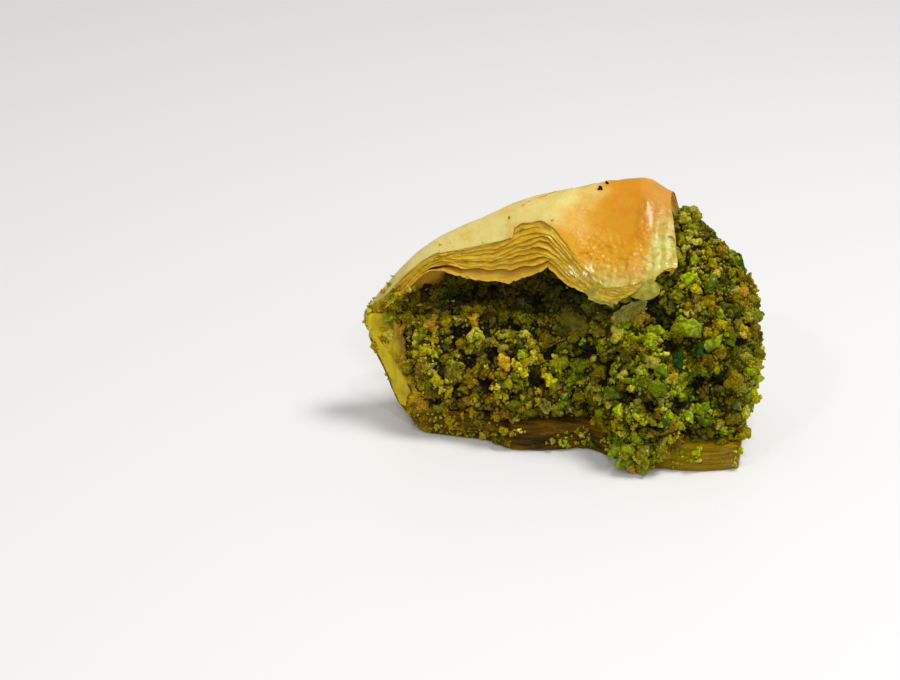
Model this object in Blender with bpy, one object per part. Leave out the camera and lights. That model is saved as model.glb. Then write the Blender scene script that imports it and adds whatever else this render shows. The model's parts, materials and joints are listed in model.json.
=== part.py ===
"""Baklava piece: a stack of thin pastry leaves folded over a heap of chopped pistachios.

The stack lies flat as a soaked base, turns up round the left nose and the back, and comes
forward again as the roof, whose front edge waves over the nuts. The right end is open, and
there the heap of nuts stands out past the roof. Both solids are lofts: each station along X
has its own section, worked out from the outlines below.

Origin: the middle of the footprint, on the table. +X runs along the front from the nose to
the open end, +Y to the back, +Z up. Every size here is in millimetres; meshes are in metres.
"""
import bpy
import bmesh
from mathutils import Matrix, Vector, noise
from mathutils.geometry import interpolate_bezier

MM = 0.001

# ---- driving sizes ----
NOSE_X = -37.3          # outermost point of the fold, left
RIGHT_X = 34.6          # right end of the soaked base
HEAP_NOSE_X = -32.4     # left end of the heap of nuts
HEAP_RIGHT_X = 36.2     # right end of the heap of nuts
HEAP_ROUND_X = 31.0     # from here the heap rounds off to its right end
HEIGHT = 46.2           # highest point, on the ridge
BASE_THICK = 4.8        # soaked leaves under the nuts
BACK_THICK = 4.2        # leaves round the back
GAP = 0.45              # room between pastry and nuts
HOLLOW_FULL_X = -15.0   # right of this only BACK_THICK closes the hollow
CREST_FREE_X = 17.0     # right of this the heap's crest is its own shape, not the hollow's
ROOF_CORNER_Y = 11.0    # the roof's right edge runs forward from this point of the ridge
ROOF_EDGE_RUN = 15.0    # ... for this far
CLEAR_X = (18.5, 21.9)  # where the heap is clear of that edge: at the ridge, at the front
RELIEF = 1.1            # how far the nuts stand out of the heap's mean surface
LUMP = 3.4              # size of the lumps in that relief
REST_DROP = 0.15        # the heap's foot hangs this little where it stands on the base

# ---- steps along X, and steps in each stretch of a section ----
PASTRY_STATIONS, HEAP_STATIONS = 40, 42
FLOOR_STEPS, HEEL_STEPS, CROWN_STEPS, ROOF_STEPS = 6, 5, 7, 9
FACE_STEPS, TOP_STEPS = 15, 8
NOSE_CROWDING = 1.35    # stations lie closer together at the nose

# ---- proportions of a section ----
HEEL_SHARE = 0.34       # the heel's turn takes this share of the section's depth
WAIST_SHARE = 0.42      # the back stands out furthest at this share of the section's height

# ---- outlines of the pastry: (x, value) pairs, joined by a smooth curve ----
BASE_FRONT_Y = [(NOSE_X, -5.2), (-33.5, -5.6), (-30.4, -6.8), (-27.5, -9.4), (-24.4, -11.5),
                (-14, -11.6), (-7, -14.4), (0, -12.9), (6, -10.6), (12, -13.8), (19, -15.6),
                (27, -15.0), (RIGHT_X, -11.8)]
BASE_Z = [(NOSE_X, 17.8), (-35.6, 13.6), (-33.4, 9.4), (-31.6, 5.6), (-29.8, 3.2), (-26.4, 1.2),
          (-24.0, 0), (RIGHT_X, 0)]
BASE_RISE = [(NOSE_X, 0.9), (-34.6, 3.6), (-31.4, 7.4), (-29.0, 7.4), (-26.4, 6.0),
             (-23.5, BASE_THICK), (RIGHT_X, BASE_THICK - 0.6)]
BACK_Y = [(NOSE_X, -3.0), (-36, -1.6), (-31.4, 1.0), (-25, 4.4), (-15, 9.2), (-5, 13.2), (4, 16.0),
          (12, 18.2), (20, 19.4), (27, 19.4), (31.6, 17.8), (RIGHT_X, 15.4)]
RIDGE_Y = [(NOSE_X, -4.6), (-33, -3.4), (-26, -1.0), (-18, 1.8), (-10, 4.6), (0, 8.0), (8, 10.8),
           (17, 11.4), (RIGHT_X, 10.0)]
RIDGE_Z = [(NOSE_X, 21.6), (-36.2, 23.0), (-34.2, 25.4), (-31.4, 29.2), (-26, 34.1), (-18.6, 38.0),
           (-9.8, 41.9), (0, 44.4), (8, 45.9), (12, HEIGHT), (17, 43.6), (21, 42.0), (25, 38.6),
           (RIGHT_X, 26.0)]
ROOF_THICK = [(NOSE_X, 0.5), (-33, 3.4), (-27, 4.4), (-5, 5.0), (8, 4.4), (17, 3.0), (RIGHT_X, 3.0)]
HOLLOW_DEPTH = [(NOSE_X, 0.3), (-34.0, 0.3), (-32.4, 2.2), (-29, 5.8), (-25, 10.2), (-20, 14.0),
                (HOLLOW_FULL_X, 16.6)]
# the roof's layered front edge: its upper side, then its lowest leaf, which waves and buckles
EDGE_TOP_Y = [(NOSE_X, -4.9), (-31, -6.0), (-25, -4.4), (-14, -3.2), (-4, -3.4), (4, -5.6), (9, -8.0),
              (14, -6.2), (20, -3.4)]
EDGE_TOP_Z = [(NOSE_X, 21.2), (-34, 24.4), (-30, 29.2), (-25, 33.0), (-20, 34.6), (-14, 36.0),
              (-9, 38.0), (-4, 39.4), (0, 37.6), (5, 33.4), (9, 31.6), (12, 33.8), (15, 35.0), (20, 33.4)]
EDGE_Y = [(NOSE_X, -5.2), (-31, -7.0), (-25, -6.6), (-14, -6.0), (-4, -6.0), (2, -7.6), (7, -9.0),
          (11, -8.8), (16, -6.4), (20, -3.8)]
EDGE_Z = [(NOSE_X, 20.3), (-34, 22.2), (-30, 26.4), (-25, 31.4), (-21, 30.6), (-16, 29.6), (-12, 29.6),
          (-8, 31.0), (-4, 33.4), (-1, 31.6), (3, 30.2), (8, 29.0), (11, 30.2), (14, 32.6), (16, 32.4),
          (20, 30.6)]
# where each line round the pastry ends on the right: share of the way from the base's front edge
# round the back to the roof's edge, then x
RIGHT_END = [(0, RIGHT_X), (0.24, RIGHT_X), (0.34, 32.4), (0.44, 25.0), (0.54, 18.4), (0.66, 16.6),
             (0.84, 18.6), (1, 20.0)]

# ---- outlines of the heap ----
FOOT_OUT = [(-28, 0.0), (-20, 0.4), (-12, 0.2), (-4, -3.6), (5, -4.0), (9.0, -2.4), (11.2, 1.4),
            (13.8, 3.9), (17, 3.5), (20.6, 1.6), (24.5, -3.2), (29, -3.4), (RIGHT_X, -1.0)]
FOOT_DROP = [(11.6, REST_DROP), (13.6, 4.2), (18.4, 4.1), (20.2, REST_DROP)]
SHOULDER_Y = [(-32, -6.4), (-25, -4.4), (-14, -2.8), (-4, -2.6), (4, -4.6), (11, -5.6), (16, -4.4),
              (22, -4.6), (30, -5.4), (HEAP_RIGHT_X, -6.0)]
SHOULDER_Z = [(-32, 20.6), (-29, 22.6), (-25, 24.4), (-14, 25.4), (-8, 26.6), (-4, 27.6), (2, 26.4),
              (9, 26.0), (14, 28.0), (20, 28.6), (24, 29.4), (30, 28.0), (34, 24.0), (HEAP_RIGHT_X, 19.0)]
CREST_Y = [(CREST_FREE_X, 9.8), (20, 9.2), (26.8, 6.6), (31.9, 5.0), (HEAP_RIGHT_X, 3.4)]
CREST_Z = [(CREST_FREE_X, 42.6), (20, 42.0), (23.5, 39.8), (26.8, 37.6), (29.8, 35.2), (31.9, 33.0),
           (34.2, 29.4), (HEAP_RIGHT_X, 24.0)]


def clear_scene():
    for old in list(bpy.data.objects):
        bpy.data.objects.remove(old, do_unlink=True)


def along(points, x):
    """Value at x of the smooth curve through points, with no overshoot between them."""
    if x <= points[0][0]:
        return points[0][1]
    if x >= points[-1][0]:
        return points[-1][1]
    secants = [(b[1] - a[1]) / (b[0] - a[0]) for a, b in zip(points, points[1:])]
    slopes = []
    for i in range(len(points)):
        before = secants[max(i - 1, 0)]
        after = secants[min(i, len(secants) - 1)]
        slopes.append(0.0 if before * after <= 0 else 2 * before * after / (before + after))
    i = max(k for k in range(len(points) - 1) if points[k][0] <= x)
    width = points[i + 1][0] - points[i][0]
    rise = points[i + 1][1] - points[i][1]
    t = (x - points[i][0]) / width
    return (points[i][1] + t * t * (3 - 2 * t) * rise
            + t * (1 - t) ** 2 * width * slopes[i] - t * t * (1 - t) * width * slopes[i + 1])


def between(a, b, share):
    return a + (b - a) * share


def arc(start, out, into, end, steps):
    """Points (y, z) of a Bezier arc, without its last point. out and into are its handles."""
    corners = [Vector((*point, 0)) for point in (start, out, into, end)]
    return [(p.x, p.y) for p in interpolate_bezier(*corners, steps + 1)[:-1]]


def level(start_y, end_y, z, steps):
    return [(between(start_y, end_y, i / steps), z) for i in range(steps)]


def fold_section(front_y, floor_z, back_y, ridge, edge):
    """A section of the fold, (y, z): level floor, heel, crown and roof, from the front to the edge."""
    heel_y = between(back_y, front_y, HEEL_SHARE)
    waist_z = between(floor_z, ridge[1], WAIST_SHARE)
    points = level(front_y, heel_y, floor_z, FLOOR_STEPS)
    points += arc((heel_y, floor_z), (between(heel_y, back_y, 0.6), floor_z),
                  (back_y, between(waist_z, floor_z, 0.6)), (back_y, waist_z), HEEL_STEPS)
    points += arc((back_y, waist_z), (back_y, between(waist_z, ridge[1], 0.55)),
                  (between(ridge[0], back_y, 0.55), ridge[1]), ridge, CROWN_STEPS)
    points += arc(ridge, (between(ridge[0], edge[0], 0.35), ridge[1]),
                  (between(edge[0], ridge[0], 0.34), between(edge[1], ridge[1], 0.42)), edge, ROOF_STEPS)
    return points + [edge]


def outer_section(x):
    return fold_section(along(BASE_FRONT_Y, x), along(BASE_Z, x), along(BACK_Y, x),
                        (along(RIDGE_Y, x), along(RIDGE_Z, x)),
                        (along(EDGE_TOP_Y, x), along(EDGE_TOP_Z, x)))


def inner_section(x, room=0.0):
    """The hollow's wall; room shrinks the hollow, for what fills it."""
    front_y = along(BASE_FRONT_Y, x)
    depth = along(BACK_Y, x) - BACK_THICK - front_y
    if x < HOLLOW_FULL_X:
        depth = min(depth, along(HOLLOW_DEPTH, x))
    wall_y = front_y + depth - room
    edge = (along(EDGE_Y, x), along(EDGE_Z, x) - room)
    ridge_y = max(min(along(RIDGE_Y, x) - 1.0, wall_y - 0.3 * depth), edge[0] + 0.05)
    ridge_z = along(RIDGE_Z, x) - along(ROOF_THICK, x) - room
    return fold_section(front_y, along(BASE_Z, x) + along(BASE_RISE, x) + room, wall_y,
                        (ridge_y, ridge_z), edge)


def mesh_object(name, collection, vertices, faces, material):
    mesh = bpy.data.meshes.new(name)
    mesh.from_pydata([Vector(vertex) * MM for vertex in vertices], [], faces)
    shape = bmesh.new()
    shape.from_mesh(mesh)
    bmesh.ops.recalc_face_normals(shape, faces=shape.faces)
    shape.to_mesh(mesh)
    shape.free()
    mesh.materials.append(material)
    mesh.shade_smooth()
    mesh.set_sharp_from_angle(angle=0.7)
    piece = bpy.data.objects.new(name, mesh)
    collection.objects.link(piece)
    return piece


def finish(name, color, roughness):
    material = bpy.data.materials.new(name)
    material.use_nodes = True
    shader = material.node_tree.nodes["Principled BSDF"]
    shader.inputs["Base Color"].default_value = (*color, 1)
    shader.inputs["Roughness"].default_value = roughness
    shader.inputs["Metallic"].default_value = 0
    return material


def pastry_shell(collection):
    """The folded stack of leaves: an outer and an inner surface, joined along their edges."""
    width = len(outer_section(0))
    vertices, faces = [], []
    for i in range(PASTRY_STATIONS):
        share = (i / (PASTRY_STATIONS - 1)) ** NOSE_CROWDING
        for section in (outer_section, inner_section):
            for j in range(width):
                x = between(NOSE_X, along(RIGHT_END, j / (width - 1)), share)
                vertices.append((x, *section(x)[j]))

    def at(i, j, inner):
        return (2 * i + inner) * width + j

    for i in range(PASTRY_STATIONS - 1):
        for j in range(width - 1):
            faces.append((at(i, j, 0), at(i + 1, j, 0), at(i + 1, j + 1, 0), at(i, j + 1, 0)))
            faces.append((at(i, j, 1), at(i, j + 1, 1), at(i + 1, j + 1, 1), at(i + 1, j, 1)))
        for j in (0, width - 1):
            faces.append((at(i, j, 0), at(i, j, 1), at(i + 1, j, 1), at(i + 1, j, 0)))
    for i in (0, PASTRY_STATIONS - 1):
        for j in range(width - 1):
            faces.append((at(i, j, 0), at(i, j + 1, 0), at(i, j + 1, 1), at(i, j, 1)))
    return mesh_object("pastry_shell", collection, vertices, faces,
                       finish("baked pastry", (0.80, 0.50, 0.14), 0.35))


def under_roof(x, y):
    """True where the roof, or the margin along its right edge, lies over the point (x, y)."""
    share = min(1.0, max(0.0, (ROOF_CORNER_Y - y) / ROOF_EDGE_RUN))
    return x < between(*CLEAR_X, share)


def read_off(line, value, known):
    """The other coordinate of a section's line where its y (known 0) or z (known 1) has the value."""
    for a, b in zip(line, line[1:]):
        if min(a[known], b[known]) <= value <= max(a[known], b[known]) and a[known] != b[known]:
            return between(a[1 - known], b[1 - known], (value - a[known]) / (b[known] - a[known]))
    return min(line, key=lambda point: abs(point[known] - value))[1 - known]


def heap_section(x):
    """A section of the heap: up its face, under the roof, over the crest, down the back, and home."""
    wall = inner_section(min(x, RIGHT_X), GAP)
    waist_at = FLOOR_STEPS + HEEL_STEPS
    ridge_at = waist_at + CROWN_STEPS
    heel, waist = wall[FLOOR_STEPS], wall[waist_at]
    wall_crown, wall_roof = wall[waist_at:ridge_at + 1], wall[ridge_at:]
    floor_z = heel[1]
    front_y = along(BASE_FRONT_Y, x)
    foot = (front_y - along(FOOT_OUT, x), floor_z - along(FOOT_DROP, x))
    shoulder = (along(SHOULDER_Y, x), along(SHOULDER_Z, x))
    crest = wall_roof[0]
    if x > CREST_FREE_X:
        crest = (along(CREST_Y, x), along(CREST_Z, x))
        if under_roof(x, crest[0]):
            crest = (crest[0], read_off(wall_roof, crest[0], 0))
    tall = shoulder[1] - foot[1]
    points = arc(foot, (foot[0] - 0.05 * tall, foot[1] + 0.35 * tall),
                 (between(shoulder[0], foot[0], 0.7), between(shoulder[1], foot[1], 0.25)),
                 shoulder, FACE_STEPS)
    points += arc(shoulder, (between(shoulder[0], crest[0], 0.25), between(shoulder[1], crest[1], 0.4)),
                  (between(crest[0], shoulder[0], 0.4), crest[1]), crest, TOP_STEPS)
    points = [(y, min(z, read_off(wall_roof, y, 0)) if under_roof(x, y) else z) for y, z in points]
    crown = arc(crest, (between(crest[0], waist[0], 0.4), crest[1]),
                (waist[0], between(waist[1], crest[1], 0.3)), waist, CROWN_STEPS)
    points += [(min(y, read_off(wall_crown, z, 1)), z) if z < wall_roof[0][1] else (y, z)
               for y, z in crown]
    points += arc(waist, (waist[0], between(waist[1], floor_z, 0.55)),
                  (between(heel[0], waist[0], 0.55), floor_z), heel, HEEL_STEPS)
    step_y = max(front_y - GAP, foot[0] + 2 * REST_DROP)
    points += level(heel[0], step_y, floor_z, FLOOR_STEPS)
    points += [(step_y, floor_z), (step_y, foot[1])]
    if x > HEAP_ROUND_X:
        middle = (between(foot[0], waist[0], 0.5), between(floor_z, crest[1], 0.5))
        share = (x - HEAP_ROUND_X) / (HEAP_RIGHT_X - HEAP_ROUND_X)
        size = (1 - share ** 5) ** 0.5
        points = [(between(middle[0], y, size), between(middle[1], z, size)) for y, z in points]
    return points


def bare(x, j):
    """1 where the heap's surface shows, fading to 0 where pastry covers it."""
    past_roof = min(1.0, max(0.0, (x - CLEAR_X[1]) / 3))
    if j <= FACE_STEPS:
        return min(1.0, 0.35 * j, max(past_roof, 0.25 * (FACE_STEPS - j)))
    steps_down = max(0, j - FACE_STEPS - TOP_STEPS)
    return min(past_roof, max(0.0, 1 - 0.3 * steps_down))


def pistachio_filling(collection):
    """The heap of chopped nuts, out to its uneven outline."""
    stations = []
    for i in range(HEAP_STATIONS):
        share = i / (HEAP_STATIONS - 1)
        crowded = share + 0.24 * share * (1 - share)
        stations.append(between(HEAP_NOSE_X, HEAP_RIGHT_X - 0.1, crowded))
    sections = [heap_section(x) for x in stations]
    width = len(sections[0])
    vertices, faces = [], []
    for x, section in zip(stations, sections):
        for j, (y, z) in enumerate(section):
            before, after = section[j - 1], section[(j + 1) % width]
            outward = Vector((0, before[1] - after[1], after[0] - before[0])).normalized()
            spot = Vector((x, y, z)) / LUMP
            lump = noise.noise(spot) + 0.6 * noise.noise(spot * 2.3)
            vertices.append(Vector((x, y, z)) + outward * lump * RELIEF * bare(x, j))
    for i in range(HEAP_STATIONS - 1):
        for j in range(width):
            k = (j + 1) % width
            faces.append((i * width + j, (i + 1) * width + j, (i + 1) * width + k, i * width + k))
    for i in (0, HEAP_STATIONS - 1):
        faces.append(tuple(i * width + j for j in range(width)))
    return mesh_object("pistachio_filling", collection, vertices, faces,
                       finish("chopped pistachio", (0.22, 0.26, 0.03), 0.5))


def stand_on_origin(pieces):
    """Move the meshes so that the middle of the whole's footprint is the origin."""
    corners = [vertex.co for piece in pieces for vertex in piece.data.vertices]
    low = Vector([min(corner[k] for corner in corners) for k in range(3)])
    high = Vector([max(corner[k] for corner in corners) for k in range(3)])
    foot = Vector(((low.x + high.x) / 2, (low.y + high.y) / 2, low.z))
    for piece in pieces:
        piece.data.transform(Matrix.Translation(-foot))


def main():
    clear_scene()
    baklava = bpy.data.collections.new("baklava_piece")
    bpy.context.scene.collection.children.link(baklava)
    stand_on_origin([pastry_shell(baklava), pistachio_filling(baklava)])


main()
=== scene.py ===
# %% [markdown]
# # A piece of folded pistachio baklava
# The real sweet is a stack of thin pastry leaves, buttered, baked and soaked in syrup. The stack is folded
# over a heap of chopped pistachios: it lies flat below, turns up round one end and the back, and comes
# forward again as a roof with a wavy, fanned edge. Two plain solids already hold its form and size, one for
# the stack and one for the heap. This file dresses them: thin leaves, loose nuts, flakes and syrup.

# %% Load the two solids
import json
import math
import random

import bmesh
import bpy
import numpy as np
from mathutils import Euler, Matrix, Vector, noise
from mathutils.bvhtree import BVHTree
from mathutils.kdtree import KDTree

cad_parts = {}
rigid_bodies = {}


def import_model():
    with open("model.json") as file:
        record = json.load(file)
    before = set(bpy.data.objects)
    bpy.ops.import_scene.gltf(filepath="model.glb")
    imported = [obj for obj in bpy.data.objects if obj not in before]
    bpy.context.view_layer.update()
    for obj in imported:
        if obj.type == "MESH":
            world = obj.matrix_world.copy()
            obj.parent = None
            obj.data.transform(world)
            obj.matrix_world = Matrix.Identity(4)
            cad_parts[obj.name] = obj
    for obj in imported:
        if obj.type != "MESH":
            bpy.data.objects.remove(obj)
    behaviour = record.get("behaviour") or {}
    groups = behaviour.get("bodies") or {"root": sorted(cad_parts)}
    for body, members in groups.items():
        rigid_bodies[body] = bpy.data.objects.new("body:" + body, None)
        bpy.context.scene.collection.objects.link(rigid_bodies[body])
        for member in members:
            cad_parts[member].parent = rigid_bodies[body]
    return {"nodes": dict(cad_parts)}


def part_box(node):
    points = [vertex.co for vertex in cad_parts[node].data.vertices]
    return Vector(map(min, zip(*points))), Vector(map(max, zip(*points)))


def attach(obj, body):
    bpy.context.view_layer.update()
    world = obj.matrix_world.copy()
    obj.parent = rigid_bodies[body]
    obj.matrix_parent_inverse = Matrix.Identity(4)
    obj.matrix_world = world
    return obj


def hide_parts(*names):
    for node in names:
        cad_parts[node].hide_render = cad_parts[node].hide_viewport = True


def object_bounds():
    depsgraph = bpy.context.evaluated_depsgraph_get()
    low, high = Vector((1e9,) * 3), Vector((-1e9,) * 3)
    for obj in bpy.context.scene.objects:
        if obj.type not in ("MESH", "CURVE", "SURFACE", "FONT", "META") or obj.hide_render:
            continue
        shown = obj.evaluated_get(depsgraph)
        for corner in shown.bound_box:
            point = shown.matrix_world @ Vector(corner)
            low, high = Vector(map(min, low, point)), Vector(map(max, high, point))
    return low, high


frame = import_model()
MM = 0.001
noise.seed_set(7)                           # else noise_vector changes from run to run
cad_box = [list(corner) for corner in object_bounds()]
print("solids:", sorted(frame["nodes"]), "size in mm:",
      [round((high - low) / MM, 1) for low, high in zip(*cad_box)])

# %% [markdown]
# ## Camera
# The piece is seen from the front and above, with a long lens and a slight roll, as food is often shown.
# A long lens keeps the near end from swelling. The camera looks at a point behind and left of the piece,
# so the piece sits right of the middle.

# %% Place the camera
CAMERA_AT = Vector((51.98, -475.27, 238.57)) * MM
LOOKS_AT = Vector((-26.30, 30.21, 0.0)) * MM
CAMERA_ROLL = math.radians(2.25)
LENS = 112

camera_data = bpy.data.cameras.new("camera")
camera_data.lens = LENS
camera_data.sensor_width = 36
camera_data.clip_start = 0.01
camera = bpy.data.objects.new("camera", camera_data)
bpy.context.scene.collection.objects.link(camera)
aim = (LOOKS_AT - CAMERA_AT).to_track_quat("-Z", "Y").to_matrix().to_4x4()
camera.matrix_world = Matrix.Translation(CAMERA_AT) @ aim @ Matrix.Rotation(CAMERA_ROLL, 4, "Z")
bpy.context.scene.camera = camera
bpy.context.scene.view_settings.view_transform = "Standard"
print("camera at", [round(c / MM) for c in CAMERA_AT], "mm")

# %% [markdown]
# ## Reading the stack
# Every leaf has to follow the solid stack, so its inner and outer walls are read with rays. In a slice across
# the piece the stack is a letter C that opens to the front. A ray from a point in the C's mouth meets the
# inner wall first and leaves through the outer wall, and a turn of that ray runs along the whole fold.

# %% Rays onto the solids
def surface_of(node):
    """A tree of a solid's faces, which answers where a ray meets them."""
    mesh = frame["nodes"][node].data
    return BVHTree.FromPolygons([v.co for v in mesh.vertices], [p.vertices for p in mesh.polygons])


stack = surface_of("pastry_shell")
heap = surface_of("pistachio_filling")
REACH = 0.12                                # longer than the piece
FORWARD, BACKWARD = Vector((0, -1, 0)), Vector((0, 1, 0))
UP, DOWN = Vector((0, 0, 1)), Vector((0, 0, -1))


def first_hit(tree, start, direction):
    return tree.ray_cast(start, direction, REACH)[0]


def last_hit(tree, start, direction):
    """The far side of the solid: where a ray that comes back from outside first meets it."""
    return first_hit(tree, start + direction * REACH, -direction)


# %% [markdown]
# The C's two tips are found by feeling along the front from above and from below: a ray that goes back into
# the piece jumps inwards where the hollow begins.

# %% Find the tips of the C in each slice
NOSE_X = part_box("pastry_shell")[0].x
ROOF_FRONT_END_X = 18.6 * MM                # past this there is no roof to feel
TIP_STEP = 0.1 * MM
FLUSH = 0.3 * MM                            # points this close to the foremost one are still on the front
JUMP = 1.0 * MM


def feel(x, z, step, stop):
    """From height z by steps, the last point of the front before the surface runs inwards."""
    foremost, tip = None, None
    while (z < stop) == (step > 0):
        hit = first_hit(stack, Vector((x, -0.06, z)), BACKWARD)
        if tip and (hit is None or hit.y > foremost + JUMP):
            return tip
        if hit:
            foremost = hit.y if foremost is None else min(foremost, hit.y)
            tip = hit if hit.y < foremost + FLUSH else tip
        z += step
    return tip


tips = []
for x in np.arange(-33.0, 35.1, 0.6) * MM:
    lower = feel(x, 0.05 * MM, TIP_STEP, 20 * MM)
    if x < ROOF_FRONT_END_X:
        upper = feel(x, 47 * MM, -TIP_STEP, 18 * MM)
    tips.append((x, lower, upper))
    if len(tips) % 14 == 1:
        print("slice", round(x / MM), [round(c / MM, 1) for c in lower], [round(c / MM, 1) for c in upper])

# %% [markdown]
# The tips are few points along the length, so the places between them are interpolated. Right of the roof
# the upper tip stays where the roof had it. At the nose the C closes, and both tips run into one point.

# %% One slice anywhere: its tips, its centre and its corners
NOSE_TIP = first_hit(stack, Vector((-0.06, -5.0 * MM, 19.4 * MM)), Vector((1, 0, 0)))
EYE_FORWARD = 0.8 * MM                      # the rays start this far in front of the C's mouth
LEAF_SETBACK = [(-36, 0.3), (-30, 1.2), (-25, 2.2), (-14, 2.8), (-4, 2.5), (4, 2.0), (9, 1.0), (14, 0.5), (20, 0.4)]
tip_x = [NOSE_TIP.x] + [tip[0] for tip in tips]


def curve_at(points, x):
    """Value at x (metres) of a line through (x, value) pairs in millimetres, in metres."""
    xs, values = zip(*points)
    return float(np.interp(x / MM, xs, values)) * MM


def tip_at(x, which):
    points = [NOSE_TIP] + [tip[which] for tip in tips]
    return Vector((x, np.interp(x, tip_x, [p.y for p in points]), np.interp(x, tip_x, [p.z for p in points])))


def eye_at(x):
    middle = (tip_at(x, 1) + tip_at(x, 2)) / 2
    return middle + FORWARD * EYE_FORWARD


def base_front_at(x):
    """The base's lower front corner in a slice."""
    tip = tip_at(x, 1)
    under = first_hit(stack, Vector((x, tip.y + 0.2 * MM, -0.02)), UP)
    return Vector((x, tip.y, under.z if under else 0))


def roof_front_at(x):
    """Where the roof's top leaf ends in a slice, a little behind the lowest leaf's edge."""
    tip = tip_at(x, 2)
    y = tip.y + curve_at(LEAF_SETBACK, x)
    top = first_hit(stack, Vector((x, y, 0.06)), DOWN)
    return Vector((x, y, max(top.z, tip.z) if top else tip.z))


def angle_to(x, point):
    eye = eye_at(x)
    return math.atan2(point.z - eye.z, point.y - eye.y)


print("nose tip", [round(c / MM, 1) for c in NOSE_TIP])

# %% [markdown]
# A place in the stack is now three numbers: x along the piece, turn from 0 at the base's front edge round the
# back to 1 at the roof's front edge, and depth from 0 on the outer wall to 1 on the inner wall.

# %% Any place in the stack
TABLE_X = np.concatenate([np.linspace(NOSE_TIP.x + 0.3 * MM, -27 * MM, 14), np.arange(-25.5, 35.1, 1.5) * MM])
TABLE_TURN = np.linspace(0, 1, 44)


def walls_at(x, turn):
    """The outer and the inner wall where the ray of this turn meets them, or None past the stack's end."""
    eye = eye_at(x)
    roof_x = min(x, ROOF_FRONT_END_X)
    start, end = angle_to(x, base_front_at(x)), angle_to(roof_x, roof_front_at(roof_x))
    angle = start + (end - start) * turn
    ray = Vector((0, math.cos(angle), math.sin(angle)))
    inner, outer = first_hit(stack, eye, ray), last_hit(stack, eye, ray)
    return (outer, inner) if inner and outer else None


wall_table = {}
end_of_turn = []
for j, turn in enumerate(TABLE_TURN):
    found = []
    for i, x in enumerate(TABLE_X):
        pair = walls_at(x, turn)
        if pair:
            wall_table[i, j] = pair
            found.append(x)
    end_of_turn.append(max(found))
print(len(wall_table), "places read; the stack ends at x =", [round(x / MM) for x in end_of_turn[::6]])

# %% Fill the table and find where the stack ends
def end_at(turn, found_x):
    """The stack's right end for a turn, halved down to a few hundredths of a millimetre."""
    inside, outside = found_x, found_x + 1.6 * MM
    for _ in range(6):
        middle = (inside + outside) / 2
        if walls_at(middle, turn):
            inside = middle
        else:
            outside = middle
    return inside


end_of_turn = [end_at(turn, x) for turn, x in zip(TABLE_TURN, end_of_turn)]
walls = np.zeros((len(TABLE_X), len(TABLE_TURN), 2, 3))
for j in range(len(TABLE_TURN)):
    for i, x in enumerate(TABLE_X):
        if (i, j) in wall_table:
            walls[i, j] = wall_table[i, j]
        else:
            walls[i, j] = walls[i - 1, j] + (walls[i - 1, j] - walls[i - 2, j]) * 0.6
            walls[i, j, :, 0] = x


def mix(a, b, share):
    return a + (b - a) * share


def smooth_step(low, high, value):
    share = min(1.0, max(0.0, (value - low) / (high - low)))
    return share * share * (3 - 2 * share)


def place_in_stack(x, turn, depth):
    """The point of the stack at x, turn and depth, read from the table."""
    i = min(max(np.searchsorted(TABLE_X, x) - 1, 0), len(TABLE_X) - 2)
    j = min(int(turn * (len(TABLE_TURN) - 1)), len(TABLE_TURN) - 2)
    a = (x - TABLE_X[i]) / (TABLE_X[i + 1] - TABLE_X[i])
    b = turn * (len(TABLE_TURN) - 1) - j
    pair = mix(mix(walls[i, j], walls[i + 1, j], a), mix(walls[i, j + 1], walls[i + 1, j + 1], a), b)
    return Vector(mix(pair[0], pair[1], depth))


def right_end(turn):
    return float(np.interp(turn, TABLE_TURN, end_of_turn))


print("right end by turn, mm:", [round(right_end(t / 8) / MM, 1) for t in range(9)])

# %% [markdown]
# ## The shape of one sheet
# A sheet of pastry could be drawn by hand in many ways. Here each one starts as a flat grid, as a baker starts
# with a flat leaf, and every point of the grid is then put in its place in the stack. Solidify gives it its
# thickness, and its own UV map keeps the leaf's two directions for the colours.

# %% Helpers for sheets
def select_only(*pieces):
    bpy.ops.object.select_all(action="DESELECT")
    for piece in pieces:
        piece.select_set(True)
    bpy.context.view_layer.objects.active = pieces[0]


def sheet(name, columns, rows, place):
    """A grid whose point (u, v), each from 0 to 1, goes to place(u, v). The attribute along keeps v, and 1 at u = 1."""
    bpy.ops.object.select_all(action="DESELECT")
    bpy.ops.mesh.primitive_grid_add(x_subdivisions=columns, y_subdivisions=rows, size=1)
    piece = bpy.context.object
    piece.name = name
    along = piece.data.attributes.new("along", "FLOAT", "POINT")
    for vertex in piece.data.vertices:
        u, v = min(1, max(0, vertex.co.x + 0.5)), min(1, max(0, vertex.co.y + 0.5))
        along.data[vertex.index].value = v if u < 1 else 1
        vertex.co = place(u, v)
    return piece


def modify(piece, kind, **settings):
    """Adds a modifier and applies it at once."""
    select_only(piece)
    modifier = piece.modifiers.new(kind.lower(), kind)
    for key, value in settings.items():
        setattr(modifier, key, value)
    bpy.ops.object.modifier_apply(modifier=modifier.name)


def face_outwards(piece):
    select_only(piece)
    bpy.ops.object.mode_set(mode="EDIT")
    bpy.ops.mesh.select_all(action="SELECT")
    bpy.ops.mesh.normals_make_consistent(inside=False)
    bpy.ops.object.mode_set(mode="OBJECT")


def join(name, pieces):
    select_only(*pieces)
    if len(pieces) > 1:
        bpy.ops.object.join()
    joined = bpy.context.object
    joined.name = joined.data.name = name
    return joined


def keep_above_floor(piece):
    for vertex in piece.data.vertices:
        vertex.co.z = max(vertex.co.z, 0)


def triangles(piece):
    return sum(len(polygon.vertices) - 2 for polygon in piece.data.polygons)
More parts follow.
